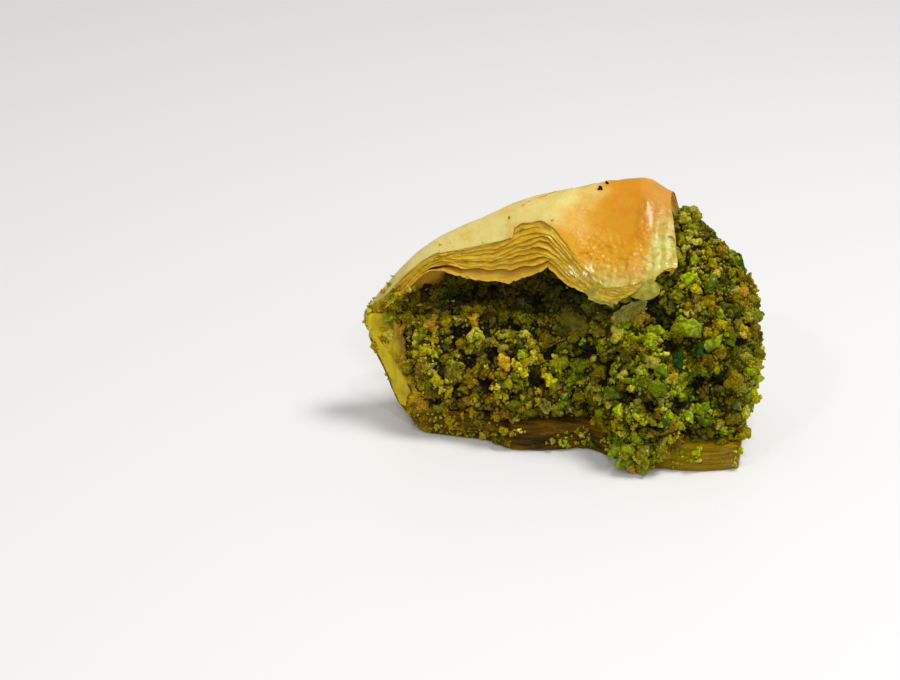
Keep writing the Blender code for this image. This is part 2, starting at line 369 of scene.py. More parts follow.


# %% [markdown]
# ## Creases
# A baked leaf cracks and folds where it bends. A few soft folds and dents are listed near the buckle and
# the ridge. All layers near the outside follow them, the deeper ones less, so no layer comes through another.

# %% Soft folds in the outer layers
CREASES = [((-6.0, -2.0), (-1.0, 6.5), 1.3, 0.45), ((0.5, -5.5), (7.5, 6.0), 1.6, 0.30),
           ((-2.5, -4.5), (3.0, 2.0), 1.0, -0.35), ((8.0, 9.5), (15.5, -2.0), 1.5, -0.25),
           ((11.5, -6.5), (14.0, 5.0), 1.2, 0.22), ((-20, 0.5), (-9.5, -0.5), 1.6, 0.22)]


def crease_height(x, y):
    """Each fold runs from one point to another, with a width and a height, all in mm."""
    total = 0.0
    spot = Vector((x / MM, y / MM))
    for start, end, width, height in CREASES:
        start, end = Vector(start), Vector(end)
        share = min(1, max(0, (spot - start).dot(end - start) / (end - start).length_squared))
        away = (spot - start.lerp(end, share)).length
        total += height * math.exp(-(away / width) ** 2)
    return total * MM


def creased(point, turn, depth):
    """The point, moved by the folds: fully on the outer wall, not at all on the inner one."""
    outward = (point - eye_at(point.x)).normalized()
    return point + outward * crease_height(point.x, point.y) * smooth_step(0.55, 0.7, turn) * max(0, 1 - depth)


# %% [markdown]
# ## The body of the fold
# Behind its edges the stack is one mass: syrup has glued the leaves together. So the body is a single closed
# form: one sheet along the outer wall, one along the inner wall, bridged round the rim. It stops a few
# millimetres short of the front edges, where the single leaves take over.

# %% Model the body
BODY_DEPTHS = (0.12, 0.95)
BODY_TURNS = (0.03, 0.95)
BODY_END_GAP = 0.5 * MM
STACK_LEFT = NOSE_TIP.x + 0.35 * MM


def wall_sheet(name, depth, columns=48, rows=40):
    def place(u, v):
        turn = mix(*BODY_TURNS, v)
        return creased(place_in_stack(mix(STACK_LEFT, right_end(turn) - BODY_END_GAP, u), turn, depth), turn, depth)
    wall = sheet(name, columns, rows, place)
    inside = wall.data.attributes.new("inside", "FLOAT", "POINT")
    inside.data.foreach_set("value", [float(depth > 0.5)] * len(wall.data.vertices))
    return wall


body = join("fold_body", [wall_sheet("outer_wall", BODY_DEPTHS[0]), wall_sheet("inner_wall", BODY_DEPTHS[1])])
bpy.ops.object.mode_set(mode="EDIT")
bpy.ops.mesh.select_all(action="DESELECT")
bpy.ops.mesh.select_mode(type="EDGE")
bpy.ops.mesh.select_non_manifold(extend=False)
bpy.ops.mesh.bridge_edge_loops()
bpy.ops.object.mode_set(mode="OBJECT")
modify(body, "SUBSURF", levels=1, render_levels=1)
keep_above_floor(body)
face_outwards(body)
bpy.ops.object.shade_smooth()
print("fold_body:", triangles(body), "triangles")

# %% [markdown]
# ## The roof's front edge
# At the front the leaves part and fan out like the pages of an open book. The uppermost end further back near
# the buckle, so more edges show there, one above the other like shingles. All the ends lie on one bent line in
# each slice: from where the top leaf ends, over the corner of the roof, to the tip of the lowest leaf.

# %% Where the leaves end
STEP_TURN = 0.022                           # how far the top leaf ends behind the corner, as a turn
UNDER_STEP = [(-14, 0.0), (-9, 1.0), (-5, 0.9), (1, 0.0)]


def end_turn(x):
    return 1 - STEP_TURN * curve_at(UNDER_STEP, x) / MM


def front_edge(x, share):
    """The end of a leaf in a slice, from the top leaf (0) to the lowest (1), and the turn where it is."""
    near_x = min(x, ROOF_FRONT_END_X)
    last = end_turn(near_x)
    top, corner, tip = place_in_stack(near_x, last, 0), roof_front_at(near_x), tip_at(near_x, 2)
    over, down = (corner - top).length, (tip - corner).length
    way = share * (over + down)
    if way < over:
        end, turn = place_in_stack(near_x, mix(last, 1, way / over), 0), mix(last, 1, way / over)
    else:
        end, turn = mix(corner, tip, (way - over) / down), 1
    return Vector((x, end.y, end.z)), turn


# %% [markdown]
# Each leaf of the fan is a strip that leaves the body some way behind the edge and waves a little on its own.
# Neighbours share most of their wave, so they nest. The lowest hangs free left of the buckle.

# %% Model the fanned leaves
ROOF_LEAVES = 10
LEAF_THICKNESS = 0.22 * MM
LEAF_ROOT = 0.79                            # turn where a strip leaves the body
FAN_GAP = [(-36, 0.0), (-27, 0.06), (-23, 0.26), (-15, 0.28), (-10, 0.14), (-3, 0.10), (3, 0.05), (20, 0.03)]
LEAF_SWELL = 0.42 * MM                      # height of a leaf's own long waves
LEAF_RIPPLE = 0.11 * MM                     # and of its short ones
LEAF_TATTER = 0.50 * MM                     # how unevenly the leaves end


def roof_leaf(k):
    share = k / (ROOF_LEAVES - 1)

    def place(u, v):
        x = mix(STACK_LEFT + 0.6 * MM, right_end(mix(LEAF_ROOT, 1, v)) - (0.2 + 0.9 * share) * MM, u)
        gap = np.interp(x / MM, *zip(*FAN_GAP))
        fan = share if k == ROOF_LEAVES - 1 else share * (1 - gap)
        fan += 0.05 * noise.noise((x / (6 * MM), k * 2.3, 5)) * (0 < k < ROOF_LEAVES - 1)
        fan *= 1 - 0.75 * smooth_step(13.5, 18, x / MM)     # at the right end they hide behind the top leaf
        edge, last = front_edge(x, fan)
        turn = mix(LEAF_ROOT, last, v)
        point = place_in_stack(x, turn, share) + (edge - place_in_stack(x, last, share)) * v ** 2
        across = (tip_at(x, 2) - roof_front_at(x)).normalized()
        outward = (edge - place_in_stack(x, LEAF_ROOT + 0.12, share)).normalized()
        loose = v * v * smooth_step(-36, -30, x / MM)
        free = smooth_step(0, 0.35, share) * smooth_step(17, 12, x / MM)    # else held down by the top leaf
        swell = noise.noise((x / (3.4 * MM), k * 0.25, 1)) * LEAF_SWELL
        swell += noise.noise((x / (2.2 * MM), k * 1.9, 6)) * 0.4 * LEAF_SWELL
        ripple = noise.noise((x / (1.1 * MM), k * 0.8, 2)) * LEAF_RIPPLE
        tatter = noise.noise((x / (3.5 * MM), k * 3.1, 3)) * LEAF_TATTER
        tatter += min(0, noise.noise((x / (0.9 * MM), k * 5.1, 4)) + 0.1) * LEAF_TATTER * (2 if k == ROOF_LEAVES - 1 else 1)
        point = creased(point, turn, share)
        held = 0.7 * MM * (1 - share) * smooth_step(11, 14, x / MM) * smooth_step(17.4, 15.6, x / MM)     # by the top leaf
        return point + across * ((swell + ripple) * loose * free + held) + outward * (tatter - 0.15 * MM) * loose

    leaf = sheet("leaf", 130, 8, place)
    modify(leaf, "SOLIDIFY", thickness=LEAF_THICKNESS, offset=0)
    return leaf


roof_leaves = join("roof_leaves", [roof_leaf(k) for k in range(ROOF_LEAVES)])
face_outwards(roof_leaves)
bpy.ops.object.shade_smooth_by_angle(angle=math.radians(50))
print("roof_leaves:", ROOF_LEAVES, "leaves,", triangles(roof_leaves), "triangles")

# %% [markdown]
# ## The top leaf
# One leaf covers the crown and the roof, from low on the back to the front edge. It is crumpled a little all
# over, and puckered where it droops and where it ends at the right, because syrup has softened it there.

# %% Model the top leaf
TOP_START = 0.28                            # turn where it begins, low on the back
TOP_LIFT = -0.07                            # depth: just outside the body


def wet_zone(point):
    """1 where the roof droops over the nuts and along its right end, else 0."""
    x, y, z = point / MM
    droop = smooth_step(0, 5, x) * smooth_step(38, 33, z) * smooth_step(3, -3, y)
    return max(droop, smooth_step(12.5, 15, x) * smooth_step(9, 3, y))


def top_leaf_place(u, v):
    turn = mix(TOP_START, 1, v ** 0.7)              # rows lie closer near the front, for the folds
    x = mix(STACK_LEFT, right_end(turn), u)
    edge, last = front_edge(x, 0)
    turn = turn if turn < 0.85 else mix(0.85, last, (turn - 0.85) / 0.15)
    reach = max(0, (turn - 0.9) / (last - 0.9)) ** 2
    point = place_in_stack(x, turn, TOP_LIFT) + (edge - place_in_stack(x, last, 0)) * reach
    outward = (point - eye_at(x)).normalized()
    crumple = noise.noise(point / (4.5 * MM)) * 0.14 + noise.noise(point / (1.7 * MM)) * 0.05
    warped = point + noise.noise_vector(point / (5 * MM)) * 2.5 * MM
    slant = Vector((warped.x * 0.8 + warped.z * 0.35, 0, warped.z * 0.35 - warped.x * 0.1)) / (2.2 * MM)
    pucker = 0.8 * (0.3 - abs(noise.noise(slant))) + noise.noise(point / (1.3 * MM)) * 0.3
    pucker *= wet_zone(point)
    return creased(point, turn, 0) + outward * max(crumple + pucker, -0.1) * MM


top_leaf = sheet("top_leaf", 130, 64, top_leaf_place)
modify(top_leaf, "SOLIDIFY", thickness=0.22 * MM, offset=0)
modify(top_leaf, "SUBSURF", levels=1, render_levels=1)
keep_above_floor(top_leaf)
face_outwards(top_leaf)
bpy.ops.object.shade_smooth()
print("top_leaf:", triangles(top_leaf), "triangles")

# %% [markdown]
# ## The pale leaf
# One more leaf lies over the left half. It was cut short: at the front it ends in a squared corner, and behind
# the corner its end slants away to the right over the crown. It took less heat and stayed pale.

# %% Model the pale leaf
PALE_ENDS = [(0.45, 9), (0.7, 6), (0.85, 0), (0.925, -6), (0.945, -10.0), (1.0, -10.3)]     # turn, x in mm


def pale_leaf_place(u, v):
    turn = mix(PALE_ENDS[0][0], 1, v)
    right = np.interp(turn, *zip(*PALE_ENDS)) * MM + noise.noise((turn * 40, 3, 3)) * 0.3 * MM
    x = mix(STACK_LEFT + 0.5 * MM, right, u)
    lift = TOP_LIFT - 0.05 * smooth_step(0, 0.12, v)
    corner = roof_front_at(x) - place_in_stack(x, 1, 0)
    point = place_in_stack(x, turn, lift) + corner * max(0, (turn - 0.9) / 0.1) ** 2
    outward = (point - eye_at(x)).normalized()
    crumple = noise.noise(point / (4.5 * MM)) * 0.14 + noise.noise(point / (1.7 * MM)) * 0.05
    ragged = noise.noise((x / (2.2 * MM), 7, 7)) * 0.25 * MM * v ** 6
    return creased(point, turn, 0) + outward * max(crumple, -0.1) * MM + FORWARD * ragged


pale_leaf = sheet("pale_leaf", 90, 44, pale_leaf_place)
modify(pale_leaf, "SOLIDIFY", thickness=0.16 * MM, offset=0)
face_outwards(pale_leaf)
bpy.ops.object.shade_smooth_by_angle(angle=math.radians(60))
print("pale_leaf:", triangles(pale_leaf), "triangles")

# %% [markdown]
# ## The leaf on the nose
# At the nose the leaves close round the heap, and a last one lies stuck over its front, with a torn edge where
# the nuts begin. Rays from the front find what it lies on, and it is lifted a little off that.

# %% Model the leaf on the nose
NOSE_LEAF_EDGE = [(3.5, -28.5), (6, -27.6), (12, -28.2), (16, -29.0), (19, -30.0), (21, -32.0)]     # z, x in mm
NOSE_LEAF_Z = (3.6, 21.0)


def front_of(x, z):
    """The foremost point of the two solids at x and z, or None beside them."""
    hits = [first_hit(tree, Vector((x, -0.06, z)), BACKWARD) for tree in (stack, heap)]
    return min((hit for hit in hits if hit), key=lambda hit: hit.y, default=None)


def nose_leaf_edge(z):
    torn = noise.noise((z / (1.6 * MM), 1, 4)) * 1.0 + noise.noise((z / (0.6 * MM), 2, 4)) * 0.3
    return (np.interp(z / MM, *zip(*NOSE_LEAF_EDGE)) + torn) * MM


nose_outline = {}
for z in np.linspace(NOSE_LEAF_Z[0], NOSE_LEAF_Z[1], 40) * MM:
    nose_outline[z] = next(x for x in np.arange(-37.5, -25, 0.1) * MM if front_of(x, z)) + 0.1 * MM


def nose_leaf_place(u, v):
    z = mix(*NOSE_LEAF_Z, v) * MM
    left = np.interp(z, list(nose_outline), list(nose_outline.values()))
    x = mix(left, nose_leaf_edge(z), u)
    around = [front_of(x + i * 0.5 * MM, z + k * 0.5 * MM) for i in (-1, 0, 1) for k in (-1, 0, 1)]
    y = np.mean([hit.y for hit in around if hit])
    waves = noise.noise(Vector((x, y, z)) / (2.5 * MM)) * 0.3 + noise.noise(Vector((x, y, z)) / (0.9 * MM)) * 0.12
    lift = (0.45 + waves) * smooth_step(0, 0.15, u)
    return Vector((x, y - lift * MM, z))


nose_leaf = sheet("nose_leaf", 40, 56, nose_leaf_place)
modify(nose_leaf, "SOLIDIFY", thickness=0.2 * MM, offset=0)
face_outwards(nose_leaf)
bpy.ops.object.shade_smooth()
print("nose_leaf:", triangles(nose_leaf), "triangles")

# %% [markdown]
# ## The soaked leaves of the base
# Below, syrup has run in and the leaves are squeezed into one glossy band, in which only a few lines show.
# They are thicker strips with no room between them, made the same way as the roof's.

# %% Model the base's leaves
BASE_LEAVES = 6
BASE_ROOTS = (0.03, 0.13)
BASE_TATTER = 0.35 * MM


def base_leaf(k):
    share = k / (BASE_LEAVES - 1)

    def place(u, v):
        root, bend = BASE_ROOTS[1], BASE_ROOTS[0]
        x = mix(STACK_LEFT + 0.4 * MM, right_end(0.1) - 0.1 * MM, u)
        low, high = base_front_at(x), tip_at(x, 1)
        edge = mix(low, high, mix(0.04, 0.97, share))
        edge.x = x
        start, middle = place_in_stack(x, root, share), place_in_stack(x, bend, share)
        middle.z = mix(middle.z, edge.z, 0.5)
        point = start * (1 - v) ** 2 + middle * 2 * v * (1 - v) + edge * v ** 2
        tatter = noise.noise((x / (2.6 * MM), k * 1.7, 8)) * BASE_TATTER - 0.35 * MM * abs(share - 0.5)
        tatter += noise.noise((x / (0.9 * MM), k * 2.9, 4)) * 0.4 * BASE_TATTER
        swell = noise.noise((x / (4 * MM), k * 0.3, 9)) * 0.12 * MM
        rise = Vector((0, 0, max(swell, 0.09 * MM - point.z if k == 0 else swell)))
        return point + (FORWARD * tatter + rise) * v * v

    leaf = sheet("leaf", 120, 6, place)
    modify(leaf, "SOLIDIFY", thickness=0.95 * MM, offset=0)
    return leaf


base_leaves = join("base_leaves", [base_leaf(k) for k in range(BASE_LEAVES)])
keep_above_floor(base_leaves)
face_outwards(base_leaves)
bpy.ops.object.shade_smooth_by_angle(angle=math.radians(60))
print("base_leaves:", BASE_LEAVES, "leaves,", triangles(base_leaves), "triangles")

# %% [markdown]
# ## How the heap's surface goes up and down
# Syrup sticks the nuts into clumps with dark crevices between them. Voronoi cells have that form: round
# tops that meet in sharp valleys. One relief is used for everything in the heap, for its core and for the
# places of the loose bits. Under the roof the nuts have settled, which leaves a dark gap below the pastry.

# %% Relief and settling
CLUMP, CLUMP_HEIGHT = 3.6 * MM, 1.7 * MM
CRUMB, CRUMB_HEIGHT = 1.1 * MM, 0.45 * MM
HOLLOW, HOLLOW_DEPTH = 3.6 * MM, 2.0 * MM
SETTLING = 3.0 * MM


def relief(point):
    """How far the surface stands out at a point."""
    spot = Vector(point)
    spot += noise.noise_vector(spot / (2.2 * MM)) * 0.6 * MM
    clump, crumb = noise.voronoi(spot / CLUMP)[0][0], noise.voronoi(spot / CRUMB)[0][0]
    hollow = smooth_step(0.2, 0.45, noise.noise(spot / HOLLOW + Vector((4, 7, 2))))
    hollow *= smooth_step(6, 10, spot.z / MM) * smooth_step(33, 28, spot.z / MM) * smooth_step(-26, -21, spot.x / MM)
    return (0.36 - clump) * CLUMP_HEIGHT + (0.45 - crumb) * CRUMB_HEIGHT - hollow * HOLLOW_DEPTH


def settling(point):
    """How far the nuts have sunk at a point: only near the top, in front, left of the droop."""
    x, y, z = Vector(point) / MM
    top = smooth_step(mix(19, 22, smooth_step(-26, -12, x)), mix(25, 28, smooth_step(-26, -12, x)), z)
    return SETTLING * top * smooth_step(-33, -29, x) * smooth_step(6, 2, x) * smooth_step(8, 2, y)


# %% [markdown]
# ## The heap's core
# The nuts are thousands of loose bits, but only the outer ones show. Under them lies one core: a copy of
# the heap's solid, remeshed so that its faces are even, drawn in a little and given the relief. How deep each
# point lies is kept with it, so that painted shade can make the crevices darker than the tops.

# %% Model the core
CORE_INSET = 0.75 * MM

select_only(frame["nodes"]["pistachio_filling"])
bpy.ops.object.duplicate()
core = bpy.context.object
core.parent = None
for key in list(core.keys()):
    del core[key]
core.name = core.data.name = "nut_core"
bpy.ops.object.mode_set(mode="EDIT")
bpy.ops.mesh.select_all(action="SELECT")
bpy.ops.mesh.remove_doubles(threshold=0.00001)
bpy.ops.object.mode_set(mode="OBJECT")
modify(core, "REMESH", mode="VOXEL", voxel_size=0.4 * MM)
height = core.data.attributes.new("height", "FLOAT", "POINT")
moves = []
for vertex in core.data.vertices:
    rise = relief(vertex.co)
    height.data[vertex.index].value = rise / MM
    moves.append(vertex.normal * (rise - CORE_INSET) - Vector((0, 0, settling(vertex.co))))
for vertex, move in zip(core.data.vertices, moves):
    vertex.co += move
    vertex.co.z = max(vertex.co.z, 0.05 * MM)
face_outwards(core)
bpy.ops.object.shade_smooth()
print("nut_core:", triangles(core), "triangles")

# %% [markdown]
# ## Places for the loose nuts
# The bits lie on the heap's outside wherever no pastry covers it. Darts thrown at the solid's faces give
# random places, more on large faces than on small ones, and a dart too close to an earlier one is dropped.
# A ray along the normal tells whether pastry lies close above, because nobody sees the nuts there.

# %% Throw darts at a solid
PASTRY_CLEARANCE = 0.7 * MM


def darts_on(solid, spacing, seed, crowd):
    """Random points on a solid's faces, each with the face's normal."""
    mesh = frame["nodes"][solid].data
    corners = np.array([[mesh.vertices[i].co for i in p.vertices] for p in mesh.polygons])
    normals, areas = np.array([p.normal for p in mesh.polygons]), np.array([p.area for p in mesh.polygons])
    rng = np.random.default_rng(seed)
    darts = int(crowd * areas.sum() / spacing ** 2)
    faces = rng.choice(len(areas), darts, p=areas / areas.sum())
    a, b = rng.random(darts), rng.random(darts)
    a, b = np.where(a + b > 1, 1 - a, a), np.where(a + b > 1, 1 - b, b)
    corners = corners[faces]
    points = corners[:, 0] + (corners[:, 1] - corners[:, 0]) * a[:, None] \
        + (corners[:, 2] - corners[:, 0]) * b[:, None]
    return zip(points, normals[faces])


def spaced(spacing):
    """A test that drops a point too close to one that it has let through."""
    taken = {}

    def fits(point):
        cell = tuple((point // spacing).astype(int))
        near = (taken.get((cell[0] + i, cell[1] + j, cell[2] + k)) for i in (-1, 0, 1)
                for j in (-1, 0, 1) for k in (-1, 0, 1))
        if any(other is not None and np.dot(other - point, other - point) < spacing ** 2 for other in near):
            return False
        taken[cell] = point
        return True
    return fits


def chance(point):
    """A fixed random number from 0 to 1 for a point."""
    return random.Random(repr([round(float(c), 6) for c in point])).random()


def bare_places(spacing, seed, wanted=None, crowd=3.0):
    """Random places on the bare surface, at least spacing apart, few in crevices, with normal and rise."""
    fits, kept = spaced(spacing), []
    for point, normal in darts_on("pistachio_filling", spacing, seed, crowd):
        rise, sunk = relief(point), settling(point)
        if normal[2] < -0.8 or chance(point) < 0.7 * smooth_step(-0.6, -1.6, rise / MM):
            continue
        if (wanted and not wanted(point, normal)) or not fits(point):
            continue
        if point[0] < nose_leaf_edge(point[2]) - 0.3 * MM and normal[1] < 0 and chance(point) < 0.8:
            continue                                    # under the leaf on the nose
        if sunk < 1.5 * MM and stack.ray_cast(Vector(point), Vector(normal), PASTRY_CLEARANCE)[0]:
            continue
        kept.append((Vector(point) + Vector(normal) * rise - Vector((0, 0, sunk)), Vector(normal), rise))
    return kept


def tree_of(pieces):
    """A tree of several finished pieces' faces."""
    points, faces = [], []
    for piece in pieces:
        faces += [[i + len(points) for i in polygon.vertices] for polygon in piece.data.polygons]
        points += [vertex.co.copy() for vertex in piece.data.vertices]
    return BVHTree.FromPolygons(points, faces)


pastry = tree_of([body, roof_leaves, top_leaf, pale_leaf, nose_leaf, base_leaves])


def pastry_places(spacing, seed, likely, crowd=3.0):
    """Places on the leaves; likely(point in mm, normal) gives the chance that nuts stick there."""
    fits, kept = spaced(spacing), []
    for point, normal in darts_on("pastry_shell", spacing, seed, crowd):
        if chance(point) < likely(point / MM, normal) and fits(point):
            kept.append((pastry.find_nearest(Vector(point))[0], Vector(normal), 0.2 * MM))
    return kept


print("places 3 mm apart:", len(bare_places(3 * MM, 1)))

# %% [markdown]
# ## One bit of nut
# A chopped pistachio is a small block with a few flat cuts and rounded rims. Real ones could be scanned, but a
# cube does as well: it is stretched, its corners are moved at random, planes slice pieces off it, and a bevel
# rounds the rims. A crumb is a lump of meal: rough bits that run into each other, made one skin by a remesh.
# The finest grains are seen only as dots, so a rough ball with few faces is enough for them.

# %% Model the bits
def cut_bit(stretch, cuts, seed, bevel=0.2):
    """A block about 1 unit across with flat cuts, as a knife leaves it."""
    rng = random.Random(seed)
    bpy.ops.object.select_all(action="DESELECT")
    bpy.ops.mesh.primitive_cube_add(size=0.85)
    bit = bpy.context.object
    bpy.ops.object.mode_set(mode="EDIT")
    bpy.ops.mesh.select_all(action="SELECT")
    bpy.ops.transform.resize(value=stretch)
    bpy.ops.transform.vertex_random(offset=0.2, uniform=1, seed=seed)
    for _ in range(cuts):
        away = Vector((rng.uniform(-1, 1), rng.uniform(-1, 1), rng.uniform(-1, 1))).normalized()
        bpy.ops.mesh.select_all(action="SELECT")
        bpy.ops.mesh.bisect(plane_co=away * rng.uniform(0.22, 0.34), plane_no=away, use_fill=True,
                            clear_outer=True)
    bpy.ops.object.mode_set(mode="OBJECT")
    modify(bit, "BEVEL", width=bevel, segments=2, limit_method="ANGLE", angle_limit=math.radians(20))
    return bit


def rough_ball(stretch, seed, rough):
    bpy.ops.object.select_all(action="DESELECT")
    bpy.ops.mesh.primitive_ico_sphere_add(subdivisions=1, radius=0.5)
    bit = bpy.context.object
    bpy.ops.object.mode_set(mode="EDIT")
    bpy.ops.mesh.select_all(action="SELECT")
    bpy.ops.transform.resize(value=stretch)
    bpy.ops.transform.vertex_random(offset=rough, uniform=1, seed=seed)
    bpy.ops.object.mode_set(mode="OBJECT")
    return bit


def crumb_lump(seed, faces, parts=8):
    """Rough bits of many sizes round a middle, run into one knobbly skin, about 1 unit across."""
    rng = random.Random(seed)
    bits = []
    for i in range(parts):
        bit = rough_ball((1, rng.uniform(0.6, 0.9), rng.uniform(0.5, 0.8)), seed * 31 + i, 0.16)
        away = Vector((rng.gauss(0, 1), rng.gauss(0, 1), rng.gauss(0, 0.7))).normalized() * rng.uniform(0.08, 0.32)
        turn = Euler([rng.uniform(0, 6) for _ in range(3)]).to_matrix().to_4x4()
        bit.data.transform(Matrix.Translation(away) @ turn @ Matrix.Scale(rng.uniform(0.28, 0.55), 4))
        bits.append(bit)
    bit = join("crumb", bits)
    modify(bit, "REMESH", mode="VOXEL", voxel_size=0.05)
    modify(bit, "DECIMATE", ratio=faces / triangles(bit))
    return bit


def as_arrays(bit):
    """A bit's points and triangles, after which its object is no longer needed."""
    mesh = bit.data
    points = np.array([v.co for v in mesh.vertices])
    mesh.calc_loop_triangles()
    faces = np.array([t.vertices for t in mesh.loop_triangles])
    bpy.data.objects.remove(bit, do_unlink=True)
    return points - points.mean(0), faces


fine_bits = [as_arrays(rough_ball((1, 0.75, 0.6 + 0.05 * i), i, 0.22)) for i in range(8)]
large_bits = [as_arrays(crumb_lump(20 + i, 220)) for i in range(12)]
crumb_bits = [as_arrays(crumb_lump(60 + i, 140)) for i in range(16)]
small_bits = [as_arrays(crumb_lump(90 + i, 80)) for i in range(14)]
chunk_bits = [as_arrays(cut_bit((1.15, 0.75, 0.55 + 0.05 * i), 3, 40 + i)) for i in range(9)]
print("faces in a grain, a small, a middle and a large crumb, and a chunk:", [len(bits[0][1]) for bits in
      (fine_bits, small_bits, crumb_bits, large_bits, chunk_bits)])

# %% [markdown]
# ## Colours of the nuts
# Pistachio is bright green inside, darker where syrup has soaked it, and yellow or brown where its skin is
# still on or where it browned in the oven. Syrup and butter stain the whole mass olive, so each bit takes half
# of its colour from the mass round it and half from itself. Painted shade darkens the bits in crevices and
# under the roof, and painted light brightens the raised ones. The colour is stored with the bit's points.

# %% Choose a colour for each bit
# The straw colour's blue is raised a little as a painted sheen of wet syrup.
PALETTE = {
    "bright": (0.30, 0.39, 0.004), "leaf": (0.16, 0.24, 0.001), "dark": (0.018, 0.072, 0.0005),
    "olive": (0.32, 0.265, 0.001), "straw": (0.52, 0.46, 0.06), "tan": (0.50, 0.25, 0.015),
    "brown": (0.16, 0.08, 0.0005), "skin": (0.26, 0.105, 0.004),
}


def mass_tint(point):
    """The colour of the mass at a point, how green it is there, and how soaked."""
    x, y, z = Vector(point) / MM
    spot = Vector(point)
    green = 0.1 + 0.5 * smooth_step(-12, 12, x) + 0.9 * noise.noise(spot / (4.5 * MM))
    soaked = 0.1 + 0.55 * smooth_step(17, 4, z) * smooth_step(16, -6, x) \
        + 0.7 * noise.noise(spot / (4 * MM) + Vector((9, 9, 9)))
    soaked = min(1, max(0, soaked + 0.5 * smooth_step(20, 29, x) * smooth_step(14, 24, z)))
    olive, leaf, brown = (Vector(PALETTE[name]) for name in ("olive", "leaf", "brown"))
    return olive.lerp(leaf, min(1, max(0, green))).lerp(brown, soaked * 0.8), green, soaked


# Where the roof shades the nuts: a mask for painted shade on the bits.
def under_roof(point):
    x, y, z = Vector(point) / MM
    return smooth_step(20, 25, z) * smooth_step(-9, -5, y) * smooth_step(12, 6, x)


def bit_tint(rng, point, rise, weights, on_pastry):
    """Half the mass's colour, half a colour drawn from the palette by weights; painted shade in a crevice and under the
    roof, painted light on raised places.
    """
    mass, green, soaked = mass_tint(point)
    under = 0 if on_pastry else under_roof(point)
    # Under the roof fewer bright straw bits are drawn, as part of the painted shade there.
    shift = {"bright": max(0.15, green - soaked), "leaf": max(0.2, green), "dark": max(0.15, green),
             "brown": 0.4 + soaked, "straw": max(0.15, 1 - soaked - under), "tan": 0.5 + soaked}
    names = list(weights)
    name = rng.choices(names, [weights[n] * shift.get(n, 1) for n in names])[0]
    tint = mass.lerp(Vector(PALETTE[name]), 0.7 if name in ("bright", "dark") else 0.5)
    light = 1.25 * math.exp(rng.gauss(0, 0.17) + 0.5 * noise.noise(Vector(point) / (7 * MM) + Vector((3, 8, 5))))
    # Painted shade in crevices and under the roof, and painted light on raised places.
    light *= (1 - 0.8 * under) * mix(0.22, 1.35, smooth_step(-1.2, 0.35, rise / MM))
    return [*(tint * light), 1.0]


MARGIN = np.array((1.6, 0.9, 1.0)) * MM      # no bit stands out further than this past the solids
ROOM = (np.array(cad_box[0]) - MARGIN, np.array(cad_box[1]) + MARGIN)
ROOM[0][2] = 0


def pile(name, bits, places, size, spread, sink, weights, seed, on_pastry=False):
    """Joined copies of the bits, one at each place: turned at random, sized by chance, partly sunk."""
    rng = random.Random(seed)
    all_points, all_faces, all_tints, first = [], [], [], 0
    for place, normal, rise in places:
        points, faces = bits[rng.randrange(len(bits))]
        scale = size * min(1.6, math.exp(rng.gauss(0, spread)))
        turn = Euler([rng.uniform(0, 2 * math.pi) for _ in range(3)]).to_matrix()
        centre = place + normal * scale * (0.5 - sink + rng.gauss(0, 0.12))
        points = points @ (np.array(turn).T * scale) + np.array(centre)
        points += np.maximum(ROOM[0] - points.min(0), 0) - np.maximum(points.max(0) - ROOM[1], 0)
        all_points.append(points)
        all_faces.append(faces + first)
        all_tints.append(np.tile(bit_tint(rng, place, rise, weights, on_pastry), (len(points), 1)))
        first += len(points)
    points, faces, tints = np.concatenate(all_points), np.concatenate(all_faces), np.concatenate(all_tints)
    mesh = bpy.data.meshes.new(name)
    mesh.from_pydata(points, [], faces.tolist())
    mesh.attributes.new("tint", "FLOAT_COLOR", "POINT").data.foreach_set("color", tints.ravel())
    mesh.shade_smooth()
    piece = bpy.data.objects.new(name, mesh)
    bpy.context.scene.collection.objects.link(piece)
    print(name + ":", len(places), "bits,", len(faces), "triangles")
    return piece


# %% Pile up the nuts
def in_coarse_zone(point, normal):
    """Chunks lie mostly in the right half and at the foot."""
    return chance(point) < 0.15 + 0.85 * smooth_step(-8, 8, point[0] / MM)


FINE_MIX = {"bright": 2, "leaf": 2, "dark": 0.5, "olive": 4, "straw": 4, "tan": 1.0, "brown": 1.5}
CRUMB_MIX = {"bright": 2.4, "leaf": 2.4, "dark": 1.0, "olive": 4, "straw": 2.6, "tan": 1.0, "brown": 1.6, "skin": 0.3}
CHUNK_MIX = {"bright": 3.5, "leaf": 3, "dark": 3.0, "olive": 1, "straw": 0.6, "tan": 0.4, "brown": 0.5, "skin": 0.5}
fine_grains = pile("fine_grains", fine_bits, bare_places(0.76 * MM, 2), 0.62 * MM, 0.3, 0.4, FINE_MIX, 11)
large_crumbs = pile("large_crumbs", large_bits, bare_places(2.2 * MM, 3)[:880], 3.9 * MM, 0.2, 0.62, CRUMB_MIX, 12)
nut_crumbs = pile("nut_crumbs", crumb_bits, bare_places(1.2 * MM, 5)[:1100], 2.4 * MM, 0.25, 0.6, CRUMB_MIX, 14)
small_crumbs = pile("small_crumbs", small_bits, bare_places(1.1 * MM, 6)[:1200], 1.6 * MM, 0.25, 0.5, CRUMB_MIX, 15)
nut_chunks = pile("nut_chunks", chunk_bits, bare_places(2.9 * MM, 4, in_coarse_zone), 2.4 * MM, 0.22, 0.70,
                  CHUNK_MIX, 13)

# %% [markdown]
# ## Nuts on the pastry
# Crumbs have also stuck where the syrup is: all over the nose, along the left half of the base, and as green
# dust on the left shoulder of the roof.

# %% Stick crumbs to the pastry
def near(point, middle, reach):
    return math.exp(-sum(((a - b) / reach) ** 2 for a, b in zip(point, middle)))


